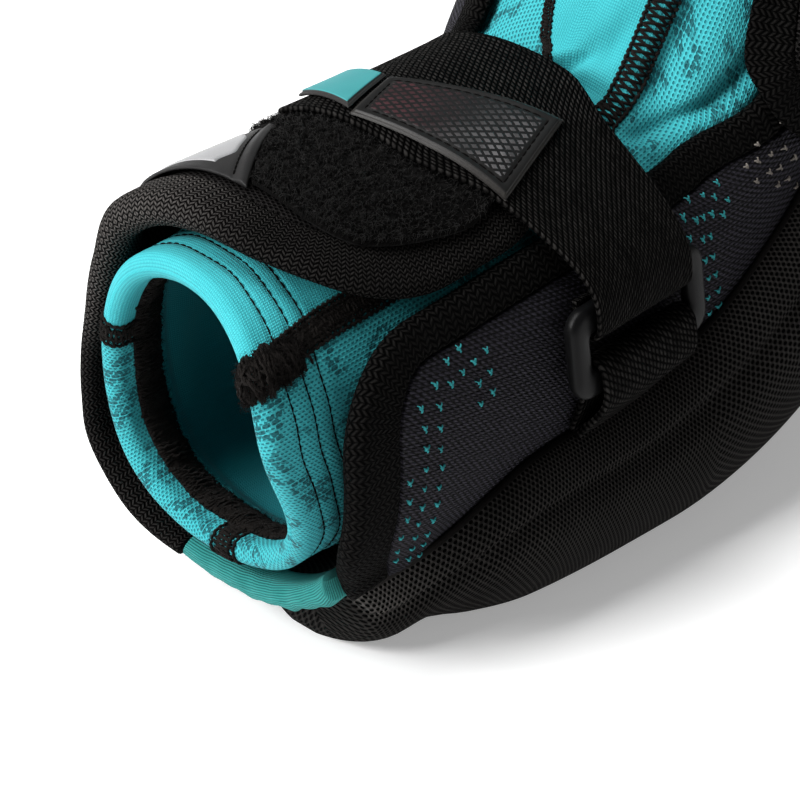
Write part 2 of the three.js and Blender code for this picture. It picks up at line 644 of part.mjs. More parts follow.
const pad = new THREE.Group();
pad.name = "elbow_pad";
pad.add(
  sleeve(),
  frontLining(),
  elbowCap(),
  sidePanel("right_panel", "knit", RIGHT_PANEL, 14, 5),
  panelBinding("right_binding", RIGHT_PANEL),
  sidePanel("left_panel", "knit", LEFT_PANEL, 10, 8),
  panelBinding("left_binding", LEFT_PANEL),
  sidePanel("right_wing", "mesh", RIGHT_WING, 6, 4),
  panelBinding("wing_binding", RIGHT_WING),
  flapCore("forearm_flap", FOREARM_FLAP, 7, 20),
  flapBinding("forearm_binding", FOREARM_FLAP),
  loopPanel(),
  flapBadge(),
  strap(),
  strapTrim("strap_patch", "rubber", PATCH),
  strapTrim("pull_tab", "tab", PULL_TAB),
  ring(),
  anchorWebbing(),
);

// The pad lies with the middle of its outline's box over the origin.
const box = new THREE.Box3().setFromObject(pad);
const middle = box.getCenter(new THREE.Vector3());
for (const piece of pad.children) piece.geometry.translate(-middle.x, -middle.y, -box.min.z);

export default pad;
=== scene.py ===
import math
from collections import namedtuple
from types import SimpleNamespace as Spec

import bpy
import numpy as np
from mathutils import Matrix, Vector


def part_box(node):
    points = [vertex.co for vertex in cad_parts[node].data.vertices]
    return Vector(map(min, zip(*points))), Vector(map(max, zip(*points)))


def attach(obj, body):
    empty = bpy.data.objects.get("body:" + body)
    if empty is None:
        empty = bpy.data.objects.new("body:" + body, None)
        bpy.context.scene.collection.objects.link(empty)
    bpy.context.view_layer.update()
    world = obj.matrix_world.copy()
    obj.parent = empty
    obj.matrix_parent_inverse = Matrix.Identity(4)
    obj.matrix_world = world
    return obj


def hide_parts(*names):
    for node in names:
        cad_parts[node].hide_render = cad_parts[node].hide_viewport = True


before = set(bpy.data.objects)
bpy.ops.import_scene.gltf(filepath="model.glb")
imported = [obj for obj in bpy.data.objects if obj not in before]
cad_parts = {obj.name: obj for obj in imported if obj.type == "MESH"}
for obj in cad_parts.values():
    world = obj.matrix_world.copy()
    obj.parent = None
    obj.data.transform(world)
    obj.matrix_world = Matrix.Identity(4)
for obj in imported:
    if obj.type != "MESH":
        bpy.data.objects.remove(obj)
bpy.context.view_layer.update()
rng = np.random.default_rng(11)


def table(columns, *rows):
    return {name: np.array(values, float) for name, values in zip(columns.split(), zip(*rows))}


# Sizes of the arm's line, the shell's form and the pieces on it, in millimetres and degrees. They follow the
# part's source; the hem, the cap's lip, the folds and the sagging edges are shaped more finely here.
ARM = Spec(straight=128, bend_radius=70, bend=45, roll=10, height=74)
SECTIONS = table(
    "along side below above",
    (0, 47, 50, 52),
    (20, 47, 50.5, 51.5),
    (70, 47.6, 51.5, 47.5),
    (150, 49, 52, 47.5),
    (190, 50.5, 52, 49),
    (285, 52, 50, 53),
)
# How square the sections are: 2 would be an oval.
SQUARENESS = 2.3
# Millimetres for a degree round the arm: on panels and flap, in the sleeve's cloth, on its hem and its seams.
ARC = math.radians(58)
SLEEVE_ARC = 0.82
HEM_ARC = 0.73
SEAM_ARC = 0.8

HEM = Spec(depth=22, thickness=3.6, rim=3.6, roll=7.4)
SLEEVE_LENGTH = 285
SLEEVE_WALL = 1.5
# How far the sleeve lies under the shell's form, on its sides and top and below, and how thick it is.
SLEEVE = table(
    "along shrink below thick",
    (0, 5.2, 5.6, HEM.roll),
    (8, 5, 5.2, HEM.roll),
    (HEM.depth, 4.6, 4, HEM.thickness),
    (HEM.depth + 4, 4.2, 3.4, SLEEVE_WALL),
    (48, 1, 0.8, SLEEVE_WALL),
    (70, 0.8, 0.8, SLEEVE_WALL),
    (255, 0.8, 0.8, SLEEVE_WALL),
    (SLEEVE_LENGTH - HEM.depth, 1.5, 0.8, HEM.thickness),
    (SLEEVE_LENGTH, 2, 1, HEM.thickness),
)
# The sleeve's lower side reaches this far round from below; the cuff's rim leans out on the buckle side.
SLEEVE_BELOW = Spec(to=70, fade=40)
CUFF_LEAN = Spec(reach=15, around=116, spread=48, fades=60)
# Folds in the sleeve: where each lies, its depth, its length up the arm, its width round it and its lean.
CREASES = table(
    "along around depth length spread lean",
    (141, 176, 4, 5, 34, 0),
    (158, 188, 5, 7, 40, 0),
    (173, 173.5, 3.6, 13, 3.4, -0.4),
    (171, 180, -1.6, 11, 5, -0.4),
    (186, 163, 2, 10, 3.6, -0.2),
    (212, 178, 2.6, 14, 5, 0.2),
    (192, 144, 5, 34, 7, 0),
)
# The height of the slight waves all over the sleeve.
RIPPLE = 0.35

# Stitches round the hem, from its rim. Smooth jersey fills the gusset up the inside of the arm, and its far
# side passes from the left seam to the gusset's own. Inside, past the hem's rim, the cloth's colour darkens:
# painted shade.
STITCH_ROWS = (8.5, 13.8, 18.2)
STITCH_GROOVE = Spec(depth=0.4, width=0.8)
GUSSET_START = Spec(along=100, length=30)
SHADED_INSIDE = Spec(start=6, length=8, knit_to=10)
# The sleeve's seams, by their angles, and the welt beside the right panel: a valley with a ridge next to it.
RIGHT_SEAM = table("along around", (0, 137), (26, 141), (40, 141), (120, 148), (150, 153), (285, 153))
GUSSET_SEAM = table("along around", (128, 178), (175, 185), (194, 191.5), (230, 204), (285, 212))
LEFT_SEAM = 254
LOWER_SEAM = 7
WELT = table("along around", (138, 144), (169, 134), (185, 124.5), (205, 117), (250, 110))
WELT_FOLD = Spec(
    depth=3.4, width=3.4, ridge=1.2, ridge_off=7.5, ridge_width=5,
    start=140, start_fade=14, end=236, end_fade=24,
)
# The overlocked band inside the hem, from its rim.
CUFF_BAND = Spec(start=9, width=11.5, height=1.3, roll=2.5, sunk=0.3, thread=0.46)

# The elbow cap: the angle of its middle, its lip's angle and its rise along the arm, its seat over the side
# panels, its rolled lip and its front, where the mesh is coloured paler: painted light. CAP_LIP's start and
# wide are shares of the way out to the lip.
CAP_MIDDLE = 20
CAP = table(
    "along lip rise",
    (14, 36, 13),
    (17, 38.5, 20),
    (22, 40.5, 26),
    (30, 43, 28.2),
    (38, 48.6, 27.5),
    (46, 55.5, 29.5),
    (54, 62, 32.5),
    (70, 68.5, 36.5),
    (104, 70.5, 39.5),
    (133, 77, 40.5),
    (163, 84, 40),
    (188, 85, 33),
    (218, 76, 19),
    (244, 62, 13),
    (254, 50, 8),
)
CAP_SEAT = Spec(
    under=0.9, over_panel=9.45, step=(27, 30.5), step_share=(0.8, 0.86), flare=4, flare_early=3,
    tuck_from=48.2, tuck=3, clear=0.4,
)
CAP_LIP = Spec(start=0.86, height=5.6, groove=3.8, wide=0.03, edge=1.6, ends=7)
CAP_PAINTED_LIGHT = Spec(along=18, length=16)

BINDING = Spec(width=12, gap=0.4, roll=4, lower=0.8, seam=1.4, seam_width=5, slope_room=1.25)
# Tape: the distance from an edge that its sewn side keeps, the share of its width where closer rows start
# there, and the step between its rows along the edge.
TAPE = Spec(sewn=0.6, inner_rows=0.86, step=1.9)
# The right panel's near foot leans up the arm and rises over the front lining: both by its angle.
FOOT = Spec(lean=13, lean_from=68, lean_to=38, bend=1.6, rise=4, rise_from=53, rise_to=40, fades=70)
RIGHT_PANEL = Spec(
    hand=1, near=1, far=262, low=53.5, tail=12.5, sag=None, corner=32, foot=17, inner=0.5, outer=8.8,
    tops=table(
        "along top", (0, 129.6), (60, 130), (130, 130.8), (152, 130.4), (166, 127.5), (179, 121.5),
        (190, 115), (205, 111), (262, 110),
    ),
)
LEFT_PANEL = Spec(
    hand=-1, near=121, far=262, low=13.5, tail=0, sag=None, corner=26, foot=12, inner=0.5, outer=6.4,
    tops=table(
        "along top", (121, 130.5), (138, 131.5), (152, 135), (166, 140.5), (182, 146), (190, 146.8),
        (262, 138),
    ),
)
RIGHT_WING = Spec(
    hand=1, near=185, far=254, low=88, tail=0, corner=20, foot=12, inner=9.4, outer=14,
    sag=Spec(depth=6.5, start=1, length=14),
    tops=table("along top", (200, 127), (225, 132), (262, 134)),
)

FLAP = Spec(
    near=3, far=105, end=131.8, near_corner=48, corner=34, core=346.5, near_root=343, far_root=346.5,
    root_width=10.5, widens=Spec(start=20, length=30), inner=2.8, outer=7.4, binding=15.5, gap=0.4,
    edge_inner=2.4, edge_outer=8.2, roll=4, sag_to=22, sag_fade=14,
    lie=table(
        "around shift", (166, 0), (200, 2.4), (220, 2.2), (238, -2), (256, -3), (275, -0.8), (289, 1.8),
        (303, 5.2), (318, 3.4), (330, 1.6), (346, -0.6),
    ),
    sag=table(
        "around drop", (150, 0), (176, 1.5), (196, 4.6), (216, 5), (240, 3.2), (264, 0.8), (285, 0)
    ),
    fade=50, swell=Spec(shift=2, around=325, spread=14, to=14, fade=8),
    # Painted light on the flap's tape: where round the arm it is coloured paler, as if lit, and the fades at
    # both ends.
    faded=Spec(start=165, start_fade=40, end=280, end_fade=30),
)
LOOP = Spec(
    inner=8.6, outer=10.2, near=22.5, far=92, to=226, roll=1.2, blunt=0.4, past_badge=0.6, turn=4,
    margin=0.3,
    edge=table(
        "along around", (22.5, 166), (24.5, 158), (30, 151), (51, 144), (64, 142), (76, 145), (92, 149)
    ),
)
# The badge: square is the share of an arc that lies square to its slanted edge, climb the share of its
# stitches' run that goes up the arm. Its plate has a raised rim on that edge, and a sewn groove inside it.
BADGE = Spec(
    inner=8.6, outer=10.1, near=19.8, far=57, start=182, slant=0.7, to=262, gap=1.2, lower=0.5, roll=0.8,
    blunt=0.2, square=0.82, climb=0.8, margin=2,
)
BADGE_RIM = Spec(rise=0.6, inset=1.5, width=1.2)
BADGE_GROOVE = Spec(depth=0.3, inset=4, width=0.6)
INLAY = Spec(
    near=24.5, far=53, start=6.4, to=252, length=70, rise=0.35, sunk=0.2, roll=0.7, near_cut=5, far_cut=4
)
LINING = Spec(
    near=4, far=13.5, start=-16, to=47.5, inner=0.8, outer=9.5, thin=3, taper=3.5, nose=4.2, pucker=0.8
)

RING = Spec(
    along=102.8, around=98.8, lift=14.3, slot=41, side=7, bar=8.4, height=27, depth=5, corner=6,
    slot_corner=2, roundness=0.7,
)
# The gap between the webbing and the ring's bars, and the share of its width that its edges round over.
WRAP_GAP = 0.7
WEBBING_EDGE = 0.02
STRAP = Spec(
    thickness=1.8, lift=11.9, droop=0.8, droop_before=10, droop_over=30, start=212, to=146,
    edges=table(
        "around near far", (120, 83.3, 122.3), (145, 74, 122.5), (167, 63.5, 129), (200, 63, 134)
    ),
)
ANCHOR = Spec(width=39, thickness=1.8, above_lip=1.6, outer=13, inner=10.4)
# Trim on the strap: along and around at the tip's near and far corners, then at the root's. Each plate has a
# worn layer under a raised field, and the patch a sewn groove.
TRIM = Spec(gap=0.3, roll=0.8, arc=ARC * 1.13, rise=0.6, step_at=1, step_width=0.4, lower=0.45, inside=6)
TRIM_ROWS = np.array([0, 0.3, 0.6, 0.9, 1.1, 1.3, 1.5, 2, 2.5, 3, 3.4, 3.8, 4.3, 4.8, 5.4])
TRIM_GROOVE = Spec(depth=0.25, inset=3.4, width=0.5, sunk=0.2)
PATCH = Spec(thickness=1.6, tip=((64.5, 187.5), (88.5, 195.5)), root=((74.8, 142.5), (109.5, 153)))
PULL_TAB = Spec(thickness=1.5, tip=((74, 214.5), (96, 217)), root=((67, 190), (90.5, 197.8)))


def ease(t):
    t = np.clip(t, 0, 1)
    return t * t * (3 - 2 * t)


def mix(a, b, t):
    return a + (b - a) * t


def bell(x):
    return np.exp(-x * x)


def round_over(from_edge, roll):
    """0 at an edge and 1 a roll's width inside it, on a quarter of a circle."""
    return np.sqrt(1 - (1 - np.clip(from_edge / roll, 0, 1)) ** 2)


def quarter_turn(count):
    """Shares from 0 to 1, close together at 0, as points evenly spaced on a quarter of a circle lie."""
    return 1 - np.cos(np.linspace(0, np.pi / 2, count))


def path_run(points, axis=0):
    """The length of a path up to each of its points; axis is the one that the path runs on."""
    steps = np.linalg.norm(np.diff(points, axis=axis), axis=-1).cumsum(axis=axis)
    return np.concatenate([np.zeros_like(steps.take([0], axis=axis)), steps], axis=axis)


def column(rows, key, where, by="along"):
    """A table's column at a place, on a smooth curve through its rows that doesn't overshoot them."""
    x, y = rows[by], rows[key]
    span = np.diff(x)
    rate = np.diff(y) / span
    same = rate[1:] * rate[:-1] > 0
    middle = np.where(same, 2 * rate[1:] * rate[:-1] / np.where(same, rate[1:] + rate[:-1], 1), 0)
    slope = np.concatenate([rate[:1], middle, rate[-1:]])
    where = np.clip(where, x[0], x[-1])
    i = np.clip(np.searchsorted(x, where, side="right") - 1, 0, len(x) - 2)
    t = (where - x[i]) / span[i]
    a, b = y[i], y[i + 1]
    lead, trail = slope[i] * span[i], slope[i + 1] * span[i]
    return a + t * lead + t**2 * (3 * (b - a) - 2 * lead - trail) + t**3 * (2 * (a - b) + lead + trail)


def centre_line(along):
    past = np.clip(along - ARM.straight, 0, ARM.bend_radius * math.radians(ARM.bend))
    slope = past / ARM.bend_radius
    beyond = np.maximum(along - ARM.straight - past, 0)
    x = np.minimum(along, ARM.straight) + ARM.bend_radius * np.sin(slope) + beyond * np.cos(slope)
    rise = ARM.bend_radius * (1 - np.cos(slope)) + beyond * np.sin(slope)
    return x, rise, slope


def form_radius(along, around):
    turn = np.radians(around)
    across = np.abs(np.sin(turn) / column(SECTIONS, "side", along))
    down = np.cos(turn)
    depth = np.where(down > 0, column(SECTIONS, "below", along), column(SECTIONS, "above", along))
    return (across**SQUARENESS + np.abs(down / depth) ** SQUARENESS) ** (-1 / SQUARENESS)


def place_on_arm(along, around, lift):
    """A place on the pad in millimetres, from the forearm cuff's centre line."""
    along, around, lift = np.broadcast_arrays(*(np.asarray(x, float) for x in (along, around, lift)))
    x, rise, slope = centre_line(along)
    turn, roll = np.radians(around), math.radians(ARM.roll)
    reach = form_radius(along, around) + lift
    y, z = -np.sin(turn) * reach, -np.cos(turn) * reach
    inward = y * math.sin(roll) + z * math.cos(roll)
    sideways = y * math.cos(roll) - z * math.sin(roll)
    up = rise + np.cos(slope) * inward
    return np.stack(
        [
            x - np.sin(slope) * inward,
            up * math.sin(roll) + sideways * math.cos(roll),
            ARM.height + up * math.cos(roll) - sideways * math.sin(roll),
        ],
        axis=-1,
    )


# The frame's origin lies under the pad's middle: the ring's place on the arm tells how far it was moved.
RING_BOX = np.array(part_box("ring")) * 1000
ORIGIN = place_on_arm(RING.along, RING.around, RING.lift) - RING_BOX.mean(axis=0)


def place(along, around, lift):
    """A place on the pad in metres, in the frame."""
    return (place_on_arm(along, around, lift) - ORIGIN) / 1000


# Meshes: points, faces as point numbers, and the cloth's own coordinates in millimetres at each face corner.
Shape = namedtuple("Shape", "points faces cloth")


def spread(count, ends=0.0):
    """Even shares from 0 to 1, or closer together at both ends."""
    t = np.linspace(0, 1, count + 1)
    return t - ends * np.sin(2 * np.pi * t) / (2 * np.pi)


def facing_out(points, faces):
    a, b, c, d = (points[faces[:, i]] for i in range(4))
    volume = np.einsum("ij,ij->", a, np.cross(b, c)) + np.einsum("ij,ij->", a, np.cross(c, d))
    return volume >= 0


def walls(us, vs, point, cloth=None, turn=None):
    """A closed solid between two sheets, point(u, v, side) with side 0 inside and 1 outside.

    cloth(u, v, side) gives the cloth's own coordinates. With turn set, v goes all the way about, a turn long.
    """
    columns = vs if turn is None else np.append(vs, vs[0] + turn)
    u, v = np.meshgrid(us, columns, indexing="ij")
    rows, across = u.shape
    kept = len(vs)
    points = np.stack([point(u[:, :kept], v[:, :kept], side) for side in (0, 1)])
    flat = [np.stack(cloth(u, v, side) if cloth else (u, v), axis=-1).reshape(-1, 2) for side in (0, 1)]
    corner = np.arange(2 * rows * across).reshape(2, rows, across)
    number = np.arange(2 * rows * kept).reshape(2, rows, kept)
    vertex = number if turn is None else np.concatenate([number, number[:, :, :1]], axis=2)
    inner, outer = corner
    loops = [
        (outer[:-1, :-1], outer[1:, :-1], outer[1:, 1:], outer[:-1, 1:]),
        (inner[:-1, :-1], inner[:-1, 1:], inner[1:, 1:], inner[1:, :-1]),
        (inner[0, :-1], outer[0, :-1], outer[0, 1:], inner[0, 1:]),
        (inner[-1, :-1], inner[-1, 1:], outer[-1, 1:], outer[-1, :-1]),
    ]
    if turn is None:
        loops.append((inner[:-1, 0], inner[1:, 0], outer[1:, 0], outer[:-1, 0]))
        loops.append((inner[:-1, -1], outer[:-1, -1], outer[1:, -1], inner[1:, -1]))
    quads = np.concatenate([np.stack(loop, axis=-1).reshape(-1, 4) for loop in loops])
    points = points.reshape(-1, 3)
    faces = vertex.reshape(-1)[quads]
    if not facing_out(points, faces):
        quads, faces = quads[:, ::-1], faces[:, ::-1]
    return Shape(points, faces, np.concatenate(flat)[quads])


def laid(point):
    """Cloth coordinates for walls: the first as it is, the second by the true length across the wall."""
    def cloth(u, v, side):
        return u, path_run(point(u, v, side), axis=1) * 1000

    return cloth


# A direction that no thread follows, to set out the sides of tubes from, and the width of a side in cloth.
TUBE_UP = (0.31, 0.22, 0.92)
TUBE_SIDE = 0.5
TINY = 1e-12


def tubes(paths, radius, sides=6):
    """Closed tubes along paths of points, paths[tube, point, xyz]. The radius may change along a path."""
    paths = np.asarray(paths, float)
    count, length = paths.shape[:2]
    tangent = np.gradient(paths, axis=1)
    tangent /= np.linalg.norm(tangent, axis=2, keepdims=True) + TINY
    side = np.cross(tangent, np.broadcast_to(TUBE_UP, tangent.shape))
    side /= np.linalg.norm(side, axis=2, keepdims=True) + TINY
    over = np.cross(side, tangent)
    angle = np.arange(sides) * 2 * np.pi / sides
    thick = np.broadcast_to(radius, (count, length))[:, :, None, None]
    ring = np.cos(angle)[:, None] * side[:, :, None] + np.sin(angle)[:, None] * over[:, :, None]
    points = (paths[:, :, None] + thick * ring).reshape(-1, 3)
    number = np.arange(count * length * sides).reshape(count, length, sides)
    beside = np.roll(number, -1, axis=2)
    skin = np.stack([number[:, :-1], beside[:, :-1], beside[:, 1:], number[:, 1:]], axis=-1)
    quads = [skin.reshape(-1, 4)]
    for first in range(0, sides - 2, 2):
        corners = [0, first + 1, first + 2, first + 3 if first + 3 < sides else 0]
        quads.append(number[:, 0][:, corners[::-1]])
        quads.append(number[:, -1][:, corners])
    faces = np.concatenate(quads)
    if not facing_out(points, faces):
        faces = faces[:, ::-1]
    run = path_run(paths, axis=1)[:, :, None] * 1000
    cloth = np.stack(np.broadcast_arrays(run, np.arange(sides) * TUBE_SIDE), axis=-1)
    return Shape(points, faces, cloth.reshape(-1, 2)[faces])


def joined(*shapes):
    starts = np.cumsum([0] + [len(shape.points) for shape in shapes[:-1]])
    return Shape(
        np.concatenate([shape.points for shape in shapes]),
        np.concatenate([shape.faces + start for shape, start in zip(shapes, starts)]),
        np.concatenate([shape.cloth for shape in shapes]),
    )


def dress(name, shape, material, slot, node=None, **marks):
    """Makes a piece from a shape; marks are numbers at its points that its material reads by name."""
    mesh = bpy.data.meshes.new(name)
    mesh.vertices.add(len(shape.points))
    mesh.vertices.foreach_set("co", shape.points.ravel())
    mesh.loops.add(shape.faces.size)
    mesh.loops.foreach_set("vertex_index", shape.faces.ravel())
    mesh.polygons.add(len(shape.faces))
    mesh.polygons.foreach_set("loop_start", np.arange(0, shape.faces.size, 4))
    mesh.update(calc_edges=True)
    mesh.validate()
    mesh.uv_layers.new(name="cloth").uv.foreach_set("vector", shape.cloth.ravel())
    for mark, values in marks.items():
        mesh.attributes.new(mark, "FLOAT", "POINT").data.foreach_set("value", np.ravel(values))
    mesh.shade_smooth()
    mesh.materials.append(material)
    piece = bpy.data.objects.new(name, mesh)
    bpy.context.scene.collection.objects.link(piece)
    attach(piece, "root")
    if node:
        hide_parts(node)
    return piece


class Signal:
    """A number in a material's node tree, whose arithmetic adds math nodes."""

    def __init__(self, tree, socket):
        self.tree = tree
        self.socket = socket

    def math(self, operation, *others, first=None):
        node = self.tree.nodes.new("ShaderNodeMath")
        node.operation = operation
        values = (self, *others) if first is None else (first, self)
        for place_in, value in zip(node.inputs, values):
            if isinstance(value, Signal):
                self.tree.links.new(value.socket, place_in)
            else:
                place_in.default_value = value
        return Signal(self.tree, node.outputs[0])

    def __add__(self, other):
        return self.math("ADD", other)

    def __sub__(self, other):
        return self.math("SUBTRACT", other)

    def __rsub__(self, other):
        return self.math("SUBTRACT", first=other)

    def __mul__(self, other):
        return self.math("MULTIPLY", other)

    def __truediv__(self, other):
        return self.math("DIVIDE", other)

    def __pow__(self, other):
        return self.math("POWER", other)

    def floor(self):
        return self.math("FLOOR")

    def fract(self):
        return self.math("FRACT")

    def abs(self):
        return self.math("ABSOLUTE")

    def zigzag(self, half):
        return self.math("PINGPONG", half)

    def hump(self):
        """A rounded hump over each whole number's span."""
        return (self * math.pi).math("SINE").abs()

    def most(self, other):
        return self.math("MAXIMUM", other)

    def step(self, low, high):
        """0 below low and 1 above high, smooth between; low may be the larger."""
        node = self.tree.nodes.new("ShaderNodeMapRange")
        node.interpolation_type = "SMOOTHSTEP"
        self.tree.links.new(self.socket, node.inputs["Value"])
        node.inputs["From Min"].default_value = low
        node.inputs["From Max"].default_value = high
        return Signal(self.tree, node.outputs["Result"])


SHEEN_ROUGHNESS = 0.4


class Cloth:
    """A material under construction: its cloth coordinates, noises, colours and final shader."""

    def __init__(self, name):
        self.material = bpy.data.materials.new(name)
        self.material.use_nodes = True
        self.tree = self.material.node_tree
        self.tree.nodes.clear()
        where = self.tree.nodes.new("ShaderNodeUVMap")
        where.uv_map = "cloth"
        self.where = where.outputs["UV"]
        parts = self.tree.nodes.new("ShaderNodeSeparateXYZ")
        self.tree.links.new(self.where, parts.inputs[0])
        self.u = Signal(self.tree, parts.outputs["X"])
        self.v = Signal(self.tree, parts.outputs["Y"])

    def mark(self, name):
        node = self.tree.nodes.new("ShaderNodeAttribute")
        node.attribute_name = name
        return Signal(self.tree, node.outputs["Fac"])

    def noise(self, size, detail=2.0, stretch=(1, 1), rough=0.5):
        """Noise from 0 to 1 in lumps of a size in millimetres, longer one way where stretched."""
        scaled = self.tree.nodes.new("ShaderNodeVectorMath")
        scaled.operation = "MULTIPLY"
        self.tree.links.new(self.where, scaled.inputs[0])
        scaled.inputs[1].default_value = (1 / (size * stretch[0]), 1 / (size * stretch[1]), 1)
        node = self.tree.nodes.new("ShaderNodeTexNoise")
        self.tree.links.new(scaled.outputs[0], node.inputs["Vector"])
        node.inputs["Scale"].default_value = 1
        node.inputs["Detail"].default_value = detail
        node.inputs["Roughness"].default_value = rough
        return Signal(self.tree, node.outputs["Fac"])

    def chance(self, u, v):
        """A random number from 0 to 1 for each pair of whole numbers."""
        pair = self.tree.nodes.new("ShaderNodeCombineXYZ")
        self.tree.links.new(u.socket, pair.inputs[0])
        self.tree.links.new(v.socket, pair.inputs[1])
        node = self.tree.nodes.new("ShaderNodeTexWhiteNoise")
        node.noise_dimensions = "2D"
        self.tree.links.new(pair.outputs[0], node.inputs["Vector"])
        return Signal(self.tree, node.outputs["Value"])

    def colour(self, factor, low, high):
        """A colour between two, each a colour or a socket, by a signal."""
        node = self.tree.nodes.new("ShaderNodeMix")
        node.data_type = "RGBA"
        self.tree.links.new(factor.socket, node.inputs["Factor"])
        for name, value in (("A", low), ("B", high)):
            target = next(s for s in node.inputs if s.name == name and s.type == "RGBA")
            if isinstance(value, bpy.types.NodeSocket):
                self.tree.links.new(value, target)
            else:
                target.default_value = (*value, 1)
        return next(s for s in node.outputs if s.type == "RGBA")

    def finish(self, colour, height, depth, rough, sheen=0.0, shine=0.3, metal=0.0):
        """Joins the shader: depth is the relief's height in millimetres, rough a number or a signal."""
        shader = self.tree.nodes.new("ShaderNodeBsdfPrincipled")
        self.tree.links.new(colour, shader.inputs["Base Color"])
        if isinstance(rough, Signal):
            self.tree.links.new(rough.socket, shader.inputs["Roughness"])
        else:
            shader.inputs["Roughness"].default_value = rough
        bump = self.tree.nodes.new("ShaderNodeBump")
        bump.inputs["Distance"].default_value = depth / 1000
        self.tree.links.new(height.socket, bump.inputs["Height"])
        self.tree.links.new(bump.outputs[0], shader.inputs["Normal"])
        shader.inputs["Sheen Weight"].default_value = sheen
        shader.inputs["Sheen Roughness"].default_value = SHEEN_ROUGHNESS
        shader.inputs["Specular IOR Level"].default_value = shine
        shader.inputs["Metallic"].default_value = metal
        out = self.tree.nodes.new("ShaderNodeOutputMaterial")
        self.tree.links.new(shader.outputs[0], out.inputs["Surface"])
        return self.material


# Black yarn and thread hardly shine, and the gaps between black yarns are darker still.
BLACK_SHINE = 0.02
BLACK_GAP = (0.0005, 0.0005, 0.0005)


def holes(cloth, across, down, radius, soft, tilt=0.0):
    """1 in round holes of a brick-laid lattice, in millimetres, and 0 between them."""
    line = cloth.v + cloth.u * tilt
    row = (line / down).floor()
    x = ((cloth.u / across + row * 0.5).fract() - 0.5) * across
    y = ((line / down).fract() - 0.5) * down
    distance = (x * x + y * y) ** 0.5
    return distance.step(radius + soft, radius - soft)


def herringbone_tape(name, row, low, high):
    """Tape woven in zigzag rows of a width in millimetres, with painted light: paler where it is marked as
    lit.
    """
    cloth = Cloth(name)
    half = row * 0.96
    wander = cloth.noise(6) * 0.5
    yarn = ((cloth.v + cloth.u.zigzag(half) * 0.85 + wander) / row).hump()
    turn = (cloth.u / half).hump().step(0.0, 0.5)
    height = yarn * (turn * 0.55 + 0.45)
    worn = cloth.noise(14, 4) * 0.5 + cloth.noise(0.7, 1) * 0.5
    light = cloth.colour(worn, low, high)
    # Painted light: where the mark says so, the yarn takes these paler colours, as if lit.
    pale = cloth.colour(worn, (0.03, 0.028, 0.0266), (0.115, 0.107, 0.101))
    light = cloth.colour(cloth.mark("faded"), light, pale)
    colour = cloth.colour(height.step(0.3, 0.95), BLACK_GAP, light)
    return cloth.finish(colour, height + cloth.noise(0.5, 1) * 0.3, depth=0.8, rough=0.75, shine=BLACK_SHINE)


def webbing():
    cloth = Cloth("webbing")
    strand_width, dash_length, slant = 1.5, 2.1, 1.3
    strand = (cloth.v + cloth.noise(5) * 0.5) / strand_width
    start = cloth.u + (strand.fract() - 0.5) * slant + cloth.noise(4) * 0.5
    dash = start / dash_length + strand.floor() * 0.5
    height = (strand.hump() ** 0.7) * (dash.hump() ** 0.6)
    worn = cloth.noise(11, 3) * 0.5 + cloth.chance(strand.floor(), dash.floor()) * 0.5
    light = cloth.colour(worn, (0.003, 0.0028, 0.0027), (0.033, 0.0311, 0.0295))
    colour = cloth.colour(height.step(0.36, 0.9), (0.0004, 0.0004, 0.0004), light)
    return cloth.finish(colour, height + cloth.noise(0.4, 1) * 0.25, depth=1.1, rough=0.75, shine=BLACK_SHINE)


def cap_mesh(name, light=(0.04, 0.0373, 0.0354)):
    cloth = Cloth(name)
    row = 1.3
    hole = holes(cloth, across=1.35, down=row, radius=0.42, soft=0.14)
    rib = (cloth.v / row).hump()
    height = (1 - hole) * (rib * 0.4 + 0.6)
    worn = cloth.noise(18, 4) * 0.7 + cloth.noise(0.8, 1) * 0.3
    thread = cloth.colour(worn, tuple(0.4 * x for x in light), light)
    # Painted light: where marked, on the lip at the cap's front, the thread is three times paler, as if lit.
    thread = cloth.colour(cloth.mark("faded"), thread, tuple(3 * x for x in light))
    colour = cloth.colour(height.step(0.3, 1.0), BLACK_GAP, thread)
    return cloth.finish(colour, height + cloth.noise(0.45, 1) * 0.2, depth=0.6, rough=0.8, shine=BLACK_SHINE)


def panel_knit():
    cloth = Cloth("panel_knit")
    row_width, dash_length, slant = 1.2, 2.1, 1.3
    row = (cloth.v + cloth.u * 0.2) / row_width
    dash = (cloth.u + (row.fract() - 0.5) * slant) / dash_length + row.floor() * 0.5
    dot = holes(cloth, across=2.3, down=1.9, radius=0.62, soft=0.3, tilt=0.12)
    height = (row.hump() ** 0.7) * dash.hump() * 0.8 + 0.2 - dot * 0.3
    worn = cloth.noise(9, 3) * 0.5 + cloth.noise(0.6, 1) * 0.5
    light = cloth.colour(worn, (0.013, 0.0122, 0.0175), (0.047, 0.044, 0.058))
    yarn = cloth.colour(height.step(0.15, 0.9), (0.002, 0.0019, 0.0024), light)
    colour = cloth.colour(dot * 0.5, yarn, (0.0014, 0.0014, 0.0017))
    relief = height + cloth.noise(0.5, 1) * 0.3
    return cloth.finish(colour, relief, depth=0.7, rough=0.75, sheen=0.02, shine=0.08)


